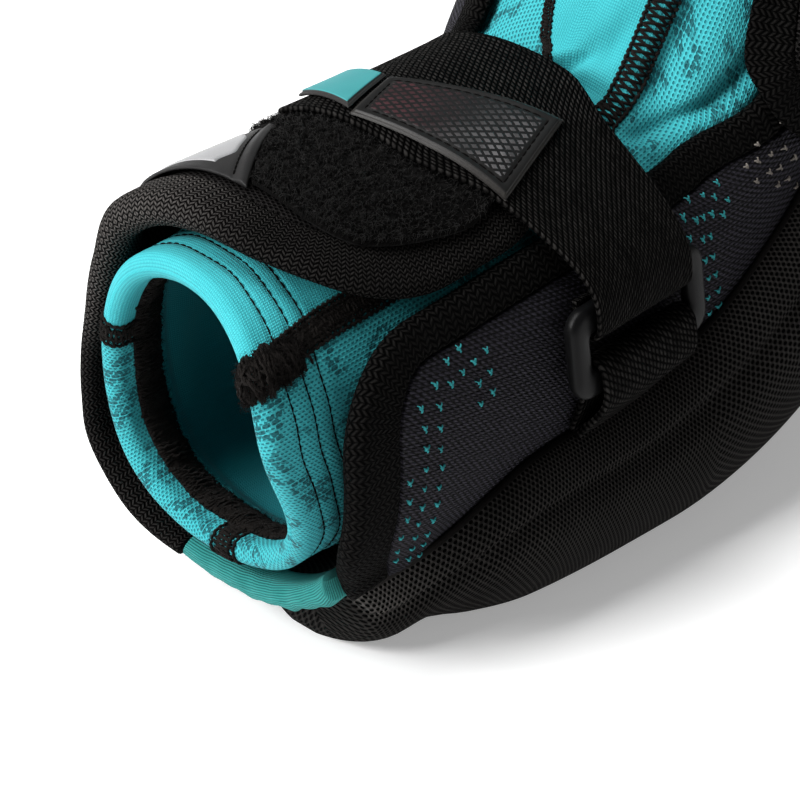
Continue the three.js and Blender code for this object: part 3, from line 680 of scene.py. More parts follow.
def sleeve_knit():
    """Smooth jersey in the gusset, and open knit with ticks and printed dashes beside it."""
    cloth = Cloth("sleeve_knit")
    open_knit = cloth.mark("open_knit")
    wale, loop = 0.72, 0.92
    jersey = (cloth.v / wale).hump() * ((cloth.u + cloth.v.zigzag(wale / 2)) / loop).hump()
    tick_row, tick_pitch, tick_length, slant = 1.15, 1.5, 1.75, 0.4
    row = (cloth.v / tick_row).floor()
    x = ((cloth.u / tick_pitch + row * 0.5).fract() - 0.5) * tick_pitch
    x = x + ((cloth.v / tick_row).fract() - 0.5) * slant
    y = ((cloth.v / tick_row).fract() - 0.5) * tick_row
    tick = ((x / tick_length) * (x / tick_length) + y * y) ** 0.5
    hole = tick.step(0.36, 0.14) * open_knit
    course = (cloth.v / tick_row).hump() * 0.5 + 0.5
    height = (jersey * (1 - open_knit) * 0.35 + open_knit * course * 0.8) - hole
    print_width, print_length, stagger = 1.5, 2.6, 0.37
    print_row = (cloth.v / print_width).floor()
    print_dash = cloth.u / print_length + print_row * stagger
    shown = cloth.chance(print_dash.floor(), print_row).step(0.3, 0.4)
    shown = shown * cloth.noise(13, 1).step(0.5, 0.55)
    dash = (print_dash.hump() ** 0.5) * ((cloth.v / print_width).hump() ** 0.5)
    marl = dash.step(0.3, 0.6) * shown * open_knit
    soft = cloth.noise(20, 3) * 0.6 + cloth.noise(0.6, 1) * 0.4
    teal = cloth.colour(soft, (0.028, 0.345, 0.388), (0.072, 0.5, 0.54))
    shade = (0.012, 0.2, 0.235)
    teal = cloth.colour(jersey.step(0.5, 0.05) * (1 - open_knit) * 0.6, teal, shade)
    teal = cloth.colour(open_knit * 0.2, teal, shade)
    # Painted shade: inside the sleeve, past the hem's rim, the teal is coloured deeper.
    painted_shade = cloth.colour(cloth.mark("lining") * 0.85, teal, (0.005, 0.145, 0.17))
    deep = cloth.colour(hole * 0.85, painted_shade, (0.006, 0.11, 0.135))
    colour = cloth.colour(marl * 0.85, deep, (0.008, 0.07, 0.083))
    relief = height + cloth.noise(0.4, 1) * 0.2
    return cloth.finish(colour, relief, depth=0.45, rough=0.75, sheen=0.04, shine=0.12)


def rib_lining():
    cloth = Cloth("rib_lining")
    rib = ((cloth.u + cloth.v * 0.08 + cloth.noise(9) * 0.8) / 0.8).hump()
    soft = cloth.noise(8, 3)
    light = cloth.colour(soft, (0.024, 0.215, 0.202), (0.048, 0.29, 0.272))
    colour = cloth.colour(rib.step(0.1, 0.8), (0.012, 0.14, 0.13), light)
    relief = rib + cloth.noise(0.5, 1) * 0.3
    return cloth.finish(colour, relief, depth=0.3, rough=0.8, sheen=0.03, shine=0.1)


def thread(name, dark, light, rough=0.85, shine=BLACK_SHINE):
    cloth = Cloth(name)
    ply = ((cloth.u + cloth.v * 0.9) / 0.6).hump()
    colour = cloth.colour(ply * 0.7 + cloth.noise(2, 2) * 0.3, dark, light)
    return cloth.finish(colour, ply, depth=0.1, rough=rough, sheen=0.02, shine=shine)


def moulded(name, dark, light, rough, grain=0.06, shine=0.25):
    cloth = Cloth(name)
    speck = cloth.noise(0.35, 2)
    wear = cloth.noise(6, 4)
    colour = cloth.colour(wear, dark, light)
    return cloth.finish(colour, speck, depth=grain, rough=wear * 0.18 + rough, shine=shine)


def tab_rubber():
    """Teal rubber on a dark layer that shows all round its edge."""
    cloth = Cloth("tab_rubber")
    wear = cloth.noise(6, 4)
    teal = cloth.colour(wear, (0.036, 0.235, 0.25), (0.052, 0.285, 0.296))
    layer = cloth.colour(cloth.noise(0.8, 2), (0.006, 0.006, 0.006), (0.03, 0.028, 0.027))
    colour = cloth.colour(cloth.mark("edge").step(1.2, 1.35), layer, teal)
    return cloth.finish(colour, cloth.noise(0.35, 2), depth=0.06, rough=wear * 0.18 + 0.5, shine=0.3)


def patch_rubber():
    """Dark rubber on a worn layer that shows at its edge, with printed lozenges inside its rim."""
    cloth = Cloth("patch_rubber")
    edge = cloth.mark("edge")
    wear = cloth.noise(6, 4)
    pitch, slant = 2.9, 0.75
    first = ((cloth.u * slant + cloth.v) / pitch).fract() - 0.5
    second = ((cloth.u * slant - cloth.v) / pitch).fract() - 0.5
    lozenge = first.abs().most(second.abs()).step(0.33, 0.27)
    inside = edge.step(4.3, 4.7)
    rosy = cloth.u.step(34, 6)
    pale = (cloth.u - cloth.v * 0.5).step(24, 50)
    patchy = cloth.noise(10, 2).step(0.28, 0.66)
    print_colour = cloth.colour(rosy, (0.011, 0.0105, 0.011), (0.055, 0.018, 0.022))
    print_colour = cloth.colour(pale, print_colour, (0.13, 0.125, 0.128))
    ground = cloth.colour(wear, (0.0045, 0.0042, 0.0044), (0.0085, 0.008, 0.0082))
    field = cloth.colour(lozenge * (patchy * 0.7 + 0.3), ground, print_colour)
    rim = cloth.colour(wear, (0.005, 0.0048, 0.0047), (0.0095, 0.009, 0.0088))
    layer = cloth.colour(cloth.noise(0.8, 3), (0.004, 0.0037, 0.0035), (0.034, 0.031, 0.028))
    colour = cloth.colour(edge.step(1.15, 1.35), layer, cloth.colour(inside, rim, field))
    relief = cloth.noise(0.35, 2) * 0.35 + lozenge * inside
    return cloth.finish(colour, relief, depth=0.12, rough=wear * 0.16 + 0.4, shine=0.3)


def silver():
    cloth = Cloth("silver_inlay")
    flake = cloth.noise(0.5, 2)
    colour = cloth.colour(flake, (0.26, 0.26, 0.265), (0.5, 0.5, 0.51))
    return cloth.finish(colour, flake, depth=0.05, rough=flake * 0.25 + 0.35, shine=0.4, metal=0.25)


# The flap's tape has finer rows than the edge tape, and paler colours: partly its own tone, partly painted
# light on the lit flap.
FLAP_TAPE = herringbone_tape("flap_tape", 1.35, (0.009, 0.0084, 0.0081), (0.027, 0.0252, 0.0239))
EDGE_TAPE = herringbone_tape("edge_tape", 1.9, (0.0025, 0.0024, 0.0023), (0.0115, 0.0108, 0.0102))
WEBBING = webbing()
CAP_CLOTH = cap_mesh("cap_mesh")
FLAP_CLOTH = cap_mesh("flap_mesh", light=(0.02, 0.0187, 0.0181))
KNIT = panel_knit()
SLEEVE_CLOTH = sleeve_knit()
RIB = rib_lining()
BLACK_THREAD = thread("black_thread", (0.001, 0.001, 0.001), (0.0065, 0.006, 0.0058))
SEAM_THREAD = thread("seam_thread", (0.002, 0.0018, 0.0017), (0.017, 0.0148, 0.0136))
TEAL_THREAD = thread("teal_thread", (0.02, 0.2, 0.22), (0.06, 0.42, 0.45))
PALE_THREAD = thread("pale_thread", (0.12, 0.11, 0.1), (0.3, 0.27, 0.24))
PILE = thread("loop_pile", (0.0008, 0.0008, 0.0008), (0.006, 0.0057, 0.0055))
HAIR = thread("loop_hair", (0.008, 0.0077, 0.0074), (0.024, 0.0226, 0.0213), rough=0.5, shine=0.2)
PATCH_RUBBER = patch_rubber()
GREY_RUBBER = moulded("badge_rubber", (0.012, 0.0118, 0.012), (0.024, 0.0235, 0.0235), rough=0.45)
SILVER = silver()
TAB_RUBBER = tab_rubber()
PLASTIC = moulded(
    "ring_plastic", (0.002, 0.002, 0.0021), (0.004, 0.004, 0.0043), rough=0.3, grain=0.02, shine=0.1
)


# What is left of a padded wall's thickness at its very edge.
THIN_EDGE = 0.02


def rounded(inner, outer, side, from_edge, roll):
    """Height of one face of a padded wall whose edge is rounded over a roll's width."""
    half = (outer - inner) / 2 * np.maximum(round_over(from_edge, roll), THIN_EDGE)
    return (inner + outer) / 2 + (half if side else -half)


def edged(length, roll, count, both=True):
    """Distances over a length, close together in the roll at its start, and at its end if both."""
    rim = roll * quarter_turn(7)
    inside = np.linspace(roll, length - (roll if both else 0), count)
    parts = [rim[:-1], inside]
    if both:
        parts.append(length - rim[::-1][1:])
    return np.concatenate(parts)


# Sleeve.
def sleeve_folds(along, around):
    """How far the cloth sinks under its even form, in millimetres."""
    valley = sum(
        depth * bell((around - middle - lean * (along - at)) / wide) * bell((along - at) / length)
        for at, middle, depth, length, wide, lean in zip(*CREASES.values())
    )
    fold = WELT_FOLD
    from_welt = around - column(WELT, "around", along)
    beside_panel = ease((along - fold.start) / fold.start_fade) * ease((fold.end - along) / fold.end_fade)
    ridge = fold.ridge * bell((from_welt + fold.ridge_off) / fold.ridge_width)
    welt = fold.depth * bell(from_welt / fold.width) - ridge
    turn = np.radians(around)
    soft = RIPPLE * np.sin(along * 0.21 + 3 * turn) * np.sin(along * 0.05 + 5 * turn)
    return valley + welt * beside_panel + soft


def sleeve_lift(along, around, side):
    from_below = np.minimum(around % 360, -around % 360)
    low = ease((SLEEVE_BELOW.to - from_below) / SLEEVE_BELOW.fade)
    inside = mix(column(SLEEVE, "shrink", along), column(SLEEVE, "below", along), low)
    thick = column(SLEEVE, "thick", along)
    from_rim = np.minimum(along, SLEEVE_LENGTH - along)
    half = thick / 2 * round_over(from_rim, HEM.rim)
    middle = -inside - sleeve_folds(along, around) - thick / 2
    if not side:
        return middle - half
    grooves = sum(bell((along - row) / STITCH_GROOVE.width) for row in STITCH_ROWS)
    return middle + half - STITCH_GROOVE.depth * grooves


def on_sleeve(along, around, lift):
    lean = CUFF_LEAN.reach * bell((around % 360 - CUFF_LEAN.around) / CUFF_LEAN.spread)
    return place(along - lean * ease(1 - along / CUFF_LEAN.fades), around, lift)


def on_hem(run, around, height):
    """A place over the hem: run counts from its rim, below 0 outside and above 0 inside."""
    quarter = HEM.rim * np.pi / 2
    bend = np.clip(np.abs(run) / quarter, 0, 1) * np.pi / 2
    along = HEM.rim * (1 - np.cos(bend)) + np.maximum(np.abs(run) - quarter, 0)
    outside = sleeve_lift(along, around, 1) + height * np.sin(bend)
    inside = sleeve_lift(along, around, 0) - height * np.sin(bend)
    return on_sleeve(along - height * np.cos(bend), around, np.where(run < 0, outside, inside))


def make_sleeve():
    rim = HEM.rim * quarter_turn(9)
    hem, forearm, flap, elbow = (
        np.arange(4, 24, 0.5), np.arange(24, 60, 1.2), np.linspace(60, 130, 26), np.arange(132, 266, 1.8)
    )
    upper_end = [268, 273, 278]
    stations = np.concatenate([rim, hem, forearm, flap, elbow, upper_end, SLEEVE_LENGTH - rim[::-1]])
    turns = np.arange(0, 360, 2.0)

    def point(along, around, side):
        return on_sleeve(along, around, sleeve_lift(along, around, side))

    def cloth(along, around, side):
        return path_run(point(along, around, 1)) * 1000, around * SLEEVE_ARC

    shape = walls(stations, turns, point, cloth=cloth, turn=360)
    along, around = (part.ravel() for part in np.meshgrid(stations, turns, indexing="ij"))
    passed = ease((along - GUSSET_START.along) / GUSSET_START.length)
    far_side = mix(LEFT_SEAM, column(GUSSET_SEAM, "around", along), passed)
    jersey = (around > column(RIGHT_SEAM, "around", along)) & (around < far_side)
    # Inside, past the hem's rim, a mark paints shade into the cloth's colour.
    painted_shade = ease((along - SHADED_INSIDE.start) / SHADED_INSIDE.length)
    marks = {
        "open_knit": np.concatenate([(1.0 - jersey) * (along < SHADED_INSIDE.knit_to), 1.0 - jersey]),
        "lining": np.concatenate([painted_shade, np.zeros_like(along)]),
    }
    piece = dress("sleeve_cloth", shape, SLEEVE_CLOTH, "sleeve_knit", "sleeve", **marks)


STITCH = Spec(gap=0.1, rise=0.28, sunk=0.1)


def stitch_row(at, length, pitch=2.6, radius=0.27):
    """Stitches in a row: at(run, height) gives a place, both in millimetres."""
    t = np.linspace(0, 1, 6)
    run = np.arange(0, length - pitch, pitch)[:, None] + STITCH.gap / 2 + t * (pitch - STITCH.gap)
    arch = np.sin(np.pi * t)
    height = np.broadcast_to(STITCH.rise * arch - STITCH.sunk, run.shape)
    return tubes(at(run, height), radius / 1000 * (0.7 + 0.3 * arch))


CHAIN_LINK = 1.9


def lattice(at, length, width, period, chains, radius):
    """A flat sewn seam: chains of thread along it and zigzags between them, at(run, across, height)."""
    run = np.arange(0, length, 0.5)
    parts = []
    for number in range(chains):
        sway = 0.26 * np.sin(2 * np.pi * run / CHAIN_LINK + number * 2)
        across = (number / (chains - 1) - 0.5) * width + sway
        thick = radius * (0.8 + 0.5 * np.abs(np.sin(np.pi * run / CHAIN_LINK + number)))
        parts.append(tubes(at(run, across, 0.25 + 0 * run)[None], thick[None] / 1000))
    for phase in (0, 0.5):
        beat = (run / period + phase) % 1
        across = (np.abs(beat * 2 - 1) * 2 - 1) * width / 2
        height = 0.3 + 0.22 * np.cos(4 * np.pi * beat + phase * 6)
        parts.append(tubes(at(run, across, height)[None], radius / 1000))
    return joined(*parts)


BARTACK = Spec(spacing=0.75, layers=4, rise=1.7, radius=0.4)


def bartack(at, length, width):
    """Close, tangled threads laid across a seam in layers, at(run, across, height)."""
    t = np.linspace(0, 1, 11)
    parts = []
    for layer in range(BARTACK.layers):
        run = np.arange(0, length, BARTACK.spacing)[:, None]
        shape = (len(run), len(t))
        lean = rng.normal(0, 2.2, run.shape) + (layer - 1.5) * 1.4
        swell = 0.72 + 0.5 * np.sin(np.pi * run / length) ** 0.8 + 0.1 * np.sin(run * 1.3 + 1)
        run = run + rng.normal(0, 0.7, run.shape)
        across = (t - 0.5) * width * swell * rng.uniform(0.8, 1.1, run.shape)
        across = across + rng.normal(0, 0.18, shape)
        height = BARTACK.rise * swell * (0.35 + 0.28 * layer) * np.sin(np.pi * t) ** 0.5
        height = height + rng.normal(0, 0.24, shape)
        run = run + lean * (t - 0.5) + rng.normal(0, 0.2, shape)
        parts.append(tubes(at(run, across, height), BARTACK.radius / 1000))
    return joined(*parts)


def fuzz(at, count, xs, ys, length, rise, radius=0.07):
    """Loose curled hairs: at(x, y, height) gives a place, xs and ys are the ranges they grow in."""
    x, y = (rng.uniform(*span, (count, 1)) for span in (xs, ys))
    t = np.linspace(0, 1, 4)
    heading = rng.uniform(0, 2 * np.pi, (count, 1)) + rng.normal(0, 1.2, (count, 1)) * t
    size = length * rng.uniform(0.35, 1, (count, 1)) * t
    height = rise * rng.uniform(0.25, 1, (count, 1)) * np.sin(2.3 * t)
    path = at(x + size * np.cos(heading), y + size * np.sin(heading), height)
    return tubes(path, radius / 1000 * (1 - 0.6 * t), sides=4)


def hem_seam(middle, start):
    """Places on a seam that crosses the hem, from a start outside it (below 0) over its rim."""
    return lambda run, across, height: on_hem(start + run, middle + across / HEM_ARC, height)


def long_seam(line, start, stop=SLEEVE_LENGTH - 3):
    """Places on a seam that runs up the sleeve along a line of angles, and its true length."""
    stations = np.linspace(start, stop, 400)
    middle = column(line, "around", stations)
    spine = on_sleeve(stations, middle, sleeve_lift(stations, middle, 1))
    length = path_run(spine) * 1000

    def at(run, across, height):
        along = np.interp(run, length, stations)
        around = column(line, "around", along) + across / SEAM_ARC
        return on_sleeve(along, around, sleeve_lift(along, around, 1) + height)

    return at, length[-1]


def make_sleeve_seams():
    def row_at(row):
        return lambda run, height: on_sleeve(
            row + 0.25 * np.sin(run * 0.31), run / HEM_ARC,
            sleeve_lift(np.full_like(run, row), run / HEM_ARC, 1) + height
        )

    rows = [stitch_row(row_at(row), 360 * HEM_ARC) for row in STITCH_ROWS]
    dress("cuff_stitches", joined(*rows), BLACK_THREAD, "binding_tape")
    over_hem = hem_seam(RIGHT_SEAM["around"][0], start=-16)
    near_part, near_length = long_seam(RIGHT_SEAM, start=9, stop=69)
    seams = joined(
        lattice(near_part, near_length, width=7.8, period=1.7, chains=7, radius=0.46),
        lattice(*long_seam(RIGHT_SEAM, start=118), width=7.2, period=4.4, chains=2, radius=0.5),
        lattice(*long_seam(GUSSET_SEAM, start=129), width=2.6, period=1.9, chains=2, radius=0.38),
        lattice(hem_seam(LEFT_SEAM, start=-8), 22, width=7.5, period=2.6, chains=4, radius=0.42),
        lattice(hem_seam(LOWER_SEAM, start=-7), 18, width=9, period=2.4, chains=5, radius=0.4),
        bartack(over_hem, 24, width=8.6),
    )
    dress("sleeve_seams", seams, SEAM_THREAD, "binding_tape")
    loose = joined(
        fuzz(over_hem, 1700, (0, 24), (-4.8, 4.8), length=2.6, rise=3.2, radius=0.09),
        fuzz(near_part, 600, (0, 50), (-4, 4), length=2.4, rise=1.6, radius=0.09),
        fuzz(hem_seam(LEFT_SEAM, start=-6), 160, (0, 18), (-4, 4), length=2, rise=1),
        fuzz(hem_seam(LOWER_SEAM, start=-5), 200, (0, 14), (-5, 5), length=2, rise=1),
    )
    dress("seam_fuzz", loose, SEAM_THREAD, "binding_tape")


def make_cuff_band():
    """The dark overlocked edge inside the hem: close threads, hairs and the frayed edge of the knit."""
    def base(run, around, side):
        edge = np.minimum(run - CUFF_BAND.start, CUFF_BAND.start + CUFF_BAND.width - run)
        top = CUFF_BAND.height * np.sqrt(np.clip(edge / CUFF_BAND.roll, 0, 1))
        return on_hem(run, around, top if side else np.full_like(top, -CUFF_BAND.sunk))

    def across_band(turn, run, height):
        return on_hem(CUFF_BAND.start + run, turn / HEM_ARC, height)

    stations = CUFF_BAND.start + edged(CUFF_BAND.width, 2, 8)
    ground = walls(stations, np.arange(0, 360, 3.0), base, turn=360)
    t = np.linspace(0, 1, 9)
    arch = np.sin(np.pi * np.clip(t, 0.05, 0.95)) ** 0.4
    round_hem = (0, 360 * HEM_ARC)
    threads = []
    for lean in (-2.2, 0.4, 2.6):
        turn = np.arange(*round_hem, 1.5)[:, None]
        shape = (len(turn), len(t))
        reach = CUFF_BAND.width * (1 + 0.05 * np.sin(turn * 0.9) + rng.normal(0, 0.05, turn.shape))
        run = (t - 0.5) * reach + CUFF_BAND.width / 2 + rng.normal(0, 0.14, shape)
        sway = lean * (t - 0.5) + rng.normal(0, 0.3, shape)
        rise = CUFF_BAND.height * (1 + 0.25 * np.sin(turn * 0.6)) * arch + rng.normal(0, 0.16, shape)
        threads.append(tubes(across_band(turn + sway, run, rise), CUFF_BAND.thread / 1000, sides=4))
    hairs = fuzz(across_band, 2600, round_hem, (0, CUFF_BAND.width), length=2.4, rise=3, radius=0.09)
    dress("cuff_band", joined(ground, *threads), SEAM_THREAD, "binding_tape")
    dress("cuff_band_fuzz", hairs, SEAM_THREAD, "binding_tape")
    edge = (CUFF_BAND.width - 0.5, CUFF_BAND.width + 1.5)
    frayed = fuzz(across_band, 1100, round_hem, edge, length=2.2, rise=1.2, radius=0.13)
    dress("cuff_fray", frayed, TEAL_THREAD, "sleeve_knit")


# Elbow cap. Rows count from the middle: 1 at the foot of the step that clears the side panels, 2 at its top
# and 3 at the lip.
def cap_point(along, row, side):
    lip = column(CAP, "lip", along) - CAP_MIDDLE
    foot, shelf = (np.minimum(at, share * lip) for at, share in zip(CAP_SEAT.step, CAP_SEAT.step_share))
    count = np.abs(row)
    on_step = np.clip(count - 1, 0, 1)
    off = mix(mix(foot * np.minimum(count, 1), shelf, on_step), lip, np.maximum(count - 2, 0))
    clear = ease((lip - CAP_SEAT.step[0] + CAP_SEAT.flare_early) / CAP_SEAT.flare)
    inner = mix(CAP_SEAT.under, mix(CAP_SEAT.under, CAP_SEAT.over_panel, clear), on_step)
    share = off / lip
    flank = mix(column(CAP, "rise", along), CAP_SEAT.over_panel + CAP_LIP.height, share**4)
    roll = np.clip((share - CAP_LIP.start) / (1 - CAP_LIP.start), 0, 1)
    groove = CAP_LIP.groove * bell((share - CAP_LIP.start) / CAP_LIP.wide)
    full = flank - groove - (CAP_LIP.height - CAP_LIP.edge) * (1 - np.sqrt(1 - roll**4))
    ends = np.minimum(along - CAP["along"][0], CAP["along"][-1] - along)
    thin = inner + CAP_LIP.edge
    outer = mix(thin, np.maximum(full, thin), np.sqrt(ease(ends / CAP_LIP.ends)))
    made = place(along, CAP_MIDDLE + np.sign(row) * off, outer if side else inner)
    if side:
        made[..., 2] = np.maximum(made[..., 2], 0)
    return made


def make_cap():
    ends = CAP_LIP.ends * quarter_turn(8)
    near, far = CAP["along"][0], CAP["along"][-1]
    middle = np.linspace(near + CAP_LIP.ends, far - CAP_LIP.ends, 104)
    stations = np.concatenate([near + ends[:-1], middle, far - ends[::-1][1:]])
    spans = ((0, 1, 18), (1, 2, 6), (2, 2.9, 26), (2.9, 3, 8))
    half = np.concatenate([np.linspace(*span)[1:] for span in spans])
    rows = np.concatenate([-half[::-1], [0], half])

    def cloth(along, row, side):
        across = laid(cap_point)(along, row, side)[1]
        return along, np.minimum(across, across[:, -1:] - across)

    shape = walls(stations, rows, cap_point, cloth=cloth)
    along, row = np.meshgrid(stations, rows, indexing="ij")
    # The mark of painted light on the lip at the cap's front end.
    faded = np.tile(bell((along - CAP_PAINTED_LIGHT.along) / CAP_PAINTED_LIGHT.length) * ease(np.abs(row) - 1), (2, 1))
    piece = dress("cap_cover", shape, CAP_CLOTH, "cap_mesh", "elbow_cap", faded=faded)


# Side panels, their bindings and the wing.
def on_panel(spec, along, arc, lift):
    """A place on a panel: the right one's foot leans and rises, the wing sags past the panel's top."""
    if spec.tail:
        around = arc / ARC
        share = np.clip((FOOT.lean_from - around) / (FOOT.lean_from - FOOT.lean_to), 0, 1)
        near = ease((FOOT.fades - along) / FOOT.fades)
        risen = ease((FOOT.rise_from - around) / (FOOT.rise_from - FOOT.rise_to))
        lift = lift + FOOT.rise * near * risen
        along = along + FOOT.lean * near * share**FOOT.bend
    if spec.sag:
        beyond = arc - panel_top(RIGHT_PANEL, along) - spec.sag.start
        lift = lift - spec.sag.depth * ease(beyond / spec.sag.length)
    return place(along, spec.hand * arc / ARC, lift)


def panel_low(spec, along):
    """Where a panel ends under the cap's lip, or against it, as an arc."""
    if not spec.tail:
        return spec.low * ARC
    lip = column(CAP, "lip", along)
    tucked = ease(lip - CAP_SEAT.tuck_from)
    return np.minimum(spec.low, lip + mix(CAP_SEAT.clear, -CAP_SEAT.tuck, tucked)) * ARC


def panel_top(spec, along):
    return column(spec.tops, "top", along) * ARC


def panel_slope(spec, along):
    return np.arctan(panel_top(spec, along + 0.5) - panel_top(spec, along - 0.5))


def panel_climb(spec):
    """The length of the free edge from its near foot up to its corner."""
    return panel_top(spec, spec.near) - spec.low * ARC - spec.corner


def panel_edge(spec, distance):
    """The free edge at a distance from its near foot, and the way inward, each as along and arc."""
    climb = panel_climb(spec)
    turned = np.clip((distance - climb) / spec.corner, 0, np.pi / 2)
    rest = np.maximum(distance - climb - spec.corner * np.pi / 2, 0)
    along = spec.near + spec.corner * (1 - np.cos(turned)) + rest
    above = panel_top(spec, along) - spec.corner * (1 - np.sin(turned))
    arc = np.where(distance < climb, spec.low * ARC + distance, above)
    facing = turned - panel_slope(spec, along) * turned * 2 / np.pi
    return along, arc, np.cos(facing), -np.sin(facing)


def panel_run(spec):
    """The free edge's whole length."""
    climb = panel_climb(spec)
    return climb + spec.corner * np.pi / 2 + spec.far - spec.near - spec.corner


def inner_corner(spec):
    """The corner inside a binding: half an oval's length along the arm, and its height round it."""
    return spec.corner - spec.foot - BINDING.gap, spec.corner - BINDING.width - BINDING.gap


def make_panel(name, spec, material, slot, node):
    near = spec.near + spec.foot + BINDING.gap
    length, height = inner_corner(spec)

    def panel_arc(along, v):
        inset = 1 - np.minimum((along - near) / length, 1)
        leaning = BINDING.width * (1 / np.cos(panel_slope(spec, along)) - 1) * BINDING.slope_room
        top = panel_top(spec, along) - spec.corner + height * np.sqrt(1 - inset**2) - leaning
        return mix(panel_low(spec, along), top, v), top

    def point(along, v, side):
        arc, top = panel_arc(along, v)
        seam = BINDING.seam * bell(np.minimum(top - arc, along - near) / BINDING.seam_width)
        lift = rounded(spec.inner, spec.outer - seam, side, spec.far - along, BINDING.roll)
        return on_panel(spec, along, arc, lift)

    def cloth(along, v, side):
        return along, panel_arc(along, v)[0]

    stations = near + edged(spec.far - near, BINDING.roll, 80)
    shape = walls(stations, spread(40, ends=0.4), point, cloth=cloth)
    dress(name, shape, material, slot, node)


def tape_shares(rolled, rolled_count, flat_count):
    """Shares of a tape's width, close together where its outer edge rolls over and at its sewn edge."""
    rim = rolled * quarter_turn(rolled_count)
    flat = np.linspace(rolled, TAPE.inner_rows, flat_count)[1:]
    return np.unique(np.concatenate([rim, flat, 1 - rim[4::-1] / 2]))


def from_tape_edge(inward, width):
    """The distance from a tape's outer edge, or its sewn edge, which is thinner and counts double."""
    return np.minimum(inward, 2 * (width - inward) + TAPE.sewn)


def binding_width(spec, distance):
    """How wide the tape is along the free edge: the foot's width on the climb, then narrower."""
    climb = panel_climb(spec)
    turned = np.clip((distance - climb) / spec.corner, 0, np.pi / 2)
    length, height = inner_corner(spec)
    oval = 1 / np.hypot(np.cos(turned) / length, np.sin(turned) / height)
    return spec.corner - BINDING.gap - oval


def make_binding(name, spec, node):
    def point(distance, share, side):
        along, arc, in_along, in_arc = panel_edge(spec, distance)
        width = binding_width(spec, distance)
        inward = share * width
        from_edge = from_tape_edge(inward, width)
        if spec.tail:
            from_edge = np.minimum(from_edge, distance + spec.tail)
        lift = rounded(spec.inner, spec.outer - BINDING.lower, side, from_edge, BINDING.roll)
        return on_panel(spec, along + in_along * inward, arc + in_arc * inward, lift)

    length = panel_run(spec)
    stops = np.linspace(-spec.tail, length, int(length / TAPE.step))
    shape = walls(stops, tape_shares(0.3, 8, 9), point, cloth=laid(point))
    dress(name, shape, EDGE_TAPE, "binding_tape", node)


# Forearm flap, its binding, the loop panel and the badge.
def flap_shift(along, around):
    """How far the flap lies out or in: less towards its far edge, and swollen at its near root."""
    swell = FLAP.swell
    swollen = bell((around - swell.around) / swell.spread) * ease((swell.to - along) / swell.fade)
    lie = column(FLAP.lie, "shift", around, by="around") * ease((FLAP.far - along) / FLAP.fade)
    return lie + swell.shift * swollen


def on_flap(along, around, lift):
    """A place on the flap, or on a piece that lies on it."""
    return place(along, around, lift + flap_shift(along, around))


def flap_edge(distance):
    end = FLAP.end * ARC
    over = FLAP.near_root * ARC - end - FLAP.near_corner
    turn = FLAP.near_corner * np.pi / 2
    across = FLAP.far - FLAP.near - FLAP.near_corner - FLAP.corner
    first = np.clip((distance - over) / FLAP.near_corner, 0, np.pi / 2)
    second = np.clip((distance - over - turn - across) / FLAP.corner, 0, np.pi / 2)
    middle = np.clip(distance - over - turn, 0, across)
    back = np.maximum(distance - over - turn - across - FLAP.corner * np.pi / 2, 0)
    along = FLAP.near + FLAP.near_corner * (1 - np.cos(first)) + FLAP.corner * np.sin(second) + middle
    past = end + FLAP.near_corner * (1 - np.sin(first)) + FLAP.corner * (1 - np.cos(second)) + back
    arc = np.where(distance < over, FLAP.near_root * ARC - distance, past)
    return along, arc, np.cos(first + second), np.sin(first + second)


def flap_run():
    corners = FLAP.near_corner + FLAP.corner
    straight = (FLAP.near_root + FLAP.far_root - 2 * FLAP.end) * ARC + FLAP.far - FLAP.near - 2 * corners
    return straight + corners * np.pi / 2


def flap_end(along, inset):
    """Where a wall set in from the flap's free edge ends, as an arc round the shell."""
    ends = []
    for corner, from_side in ((FLAP.near_corner, along - FLAP.near), (FLAP.corner, FLAP.far - along)):
        radius = corner - inset
        short = radius - np.clip(from_side - inset, 0, radius)
        ends.append(corner - np.sqrt(radius**2 - short**2))
    return FLAP.end * ARC + np.maximum(*ends)


def make_flap():
    inset = FLAP.binding + FLAP.gap

    def point(along, v, side):
        around = mix(FLAP.core, flap_end(along, inset) / ARC, v)
        return on_flap(along, around, FLAP.outer if side else FLAP.inner)

    def cloth(along, v, side):
        return along, mix(FLAP.core * ARC, flap_end(along, inset), v)

    stations = np.linspace(FLAP.near + inset, FLAP.far - inset, 44)
    shape = walls(stations, spread(110), point, cloth=cloth)
    dress("flap_cover", shape, FLAP_CLOTH, "flap_mesh", "forearm_flap")


def make_flap_binding():
    def point(distance, share, side):
        along, arc, in_along, in_arc = flap_edge(distance)
        widened = ease((distance - FLAP.widens.start) / FLAP.widens.length)
        width = mix(FLAP.root_width, FLAP.binding, widened)
        inward = share * width
        along, around = along + in_along * inward, (arc + in_arc * inward) / ARC
        from_edge = from_tape_edge(inward, width)
        drop = column(FLAP.sag, "drop", around, by="around") * ease((FLAP.sag_to - along) / FLAP.sag_fade)
        lift = rounded(FLAP.edge_inner - drop, FLAP.edge_outer, side, from_edge, FLAP.roll + drop / 3)
        return on_flap(along, around, lift)

    length = flap_run()
    stops = np.linspace(0, length, int(length / TAPE.step))
    shares = tape_shares(0.36, 10, 8)
    shape = walls(stops, shares, point, cloth=laid(point))
    around = np.repeat(flap_edge(stops)[1] / ARC, len(shares))
    # Painted light: the tape round the flap's lit part is marked to be coloured paler.
    worn = FLAP.faded
    faded = ease((around - worn.start) / worn.start_fade) * ease((worn.end - around) / worn.end_fade)
    marks = {"faded": np.tile(faded, 2)}
    piece = dress("flap_binding", shape, FLAP_TAPE, "binding_tape", "forearm_binding", **marks)


def badge_edge(along):
    return BADGE.start + BADGE.slant * (along - BADGE.near)


def loop_ends(along):
    past_badge = ease((along - BADGE.far - LOOP.past_badge) / LOOP.turn)
    to = mix(badge_edge(along) - BADGE.gap, LOOP.to, past_badge)
    return column(LOOP.edge, "around", along), to


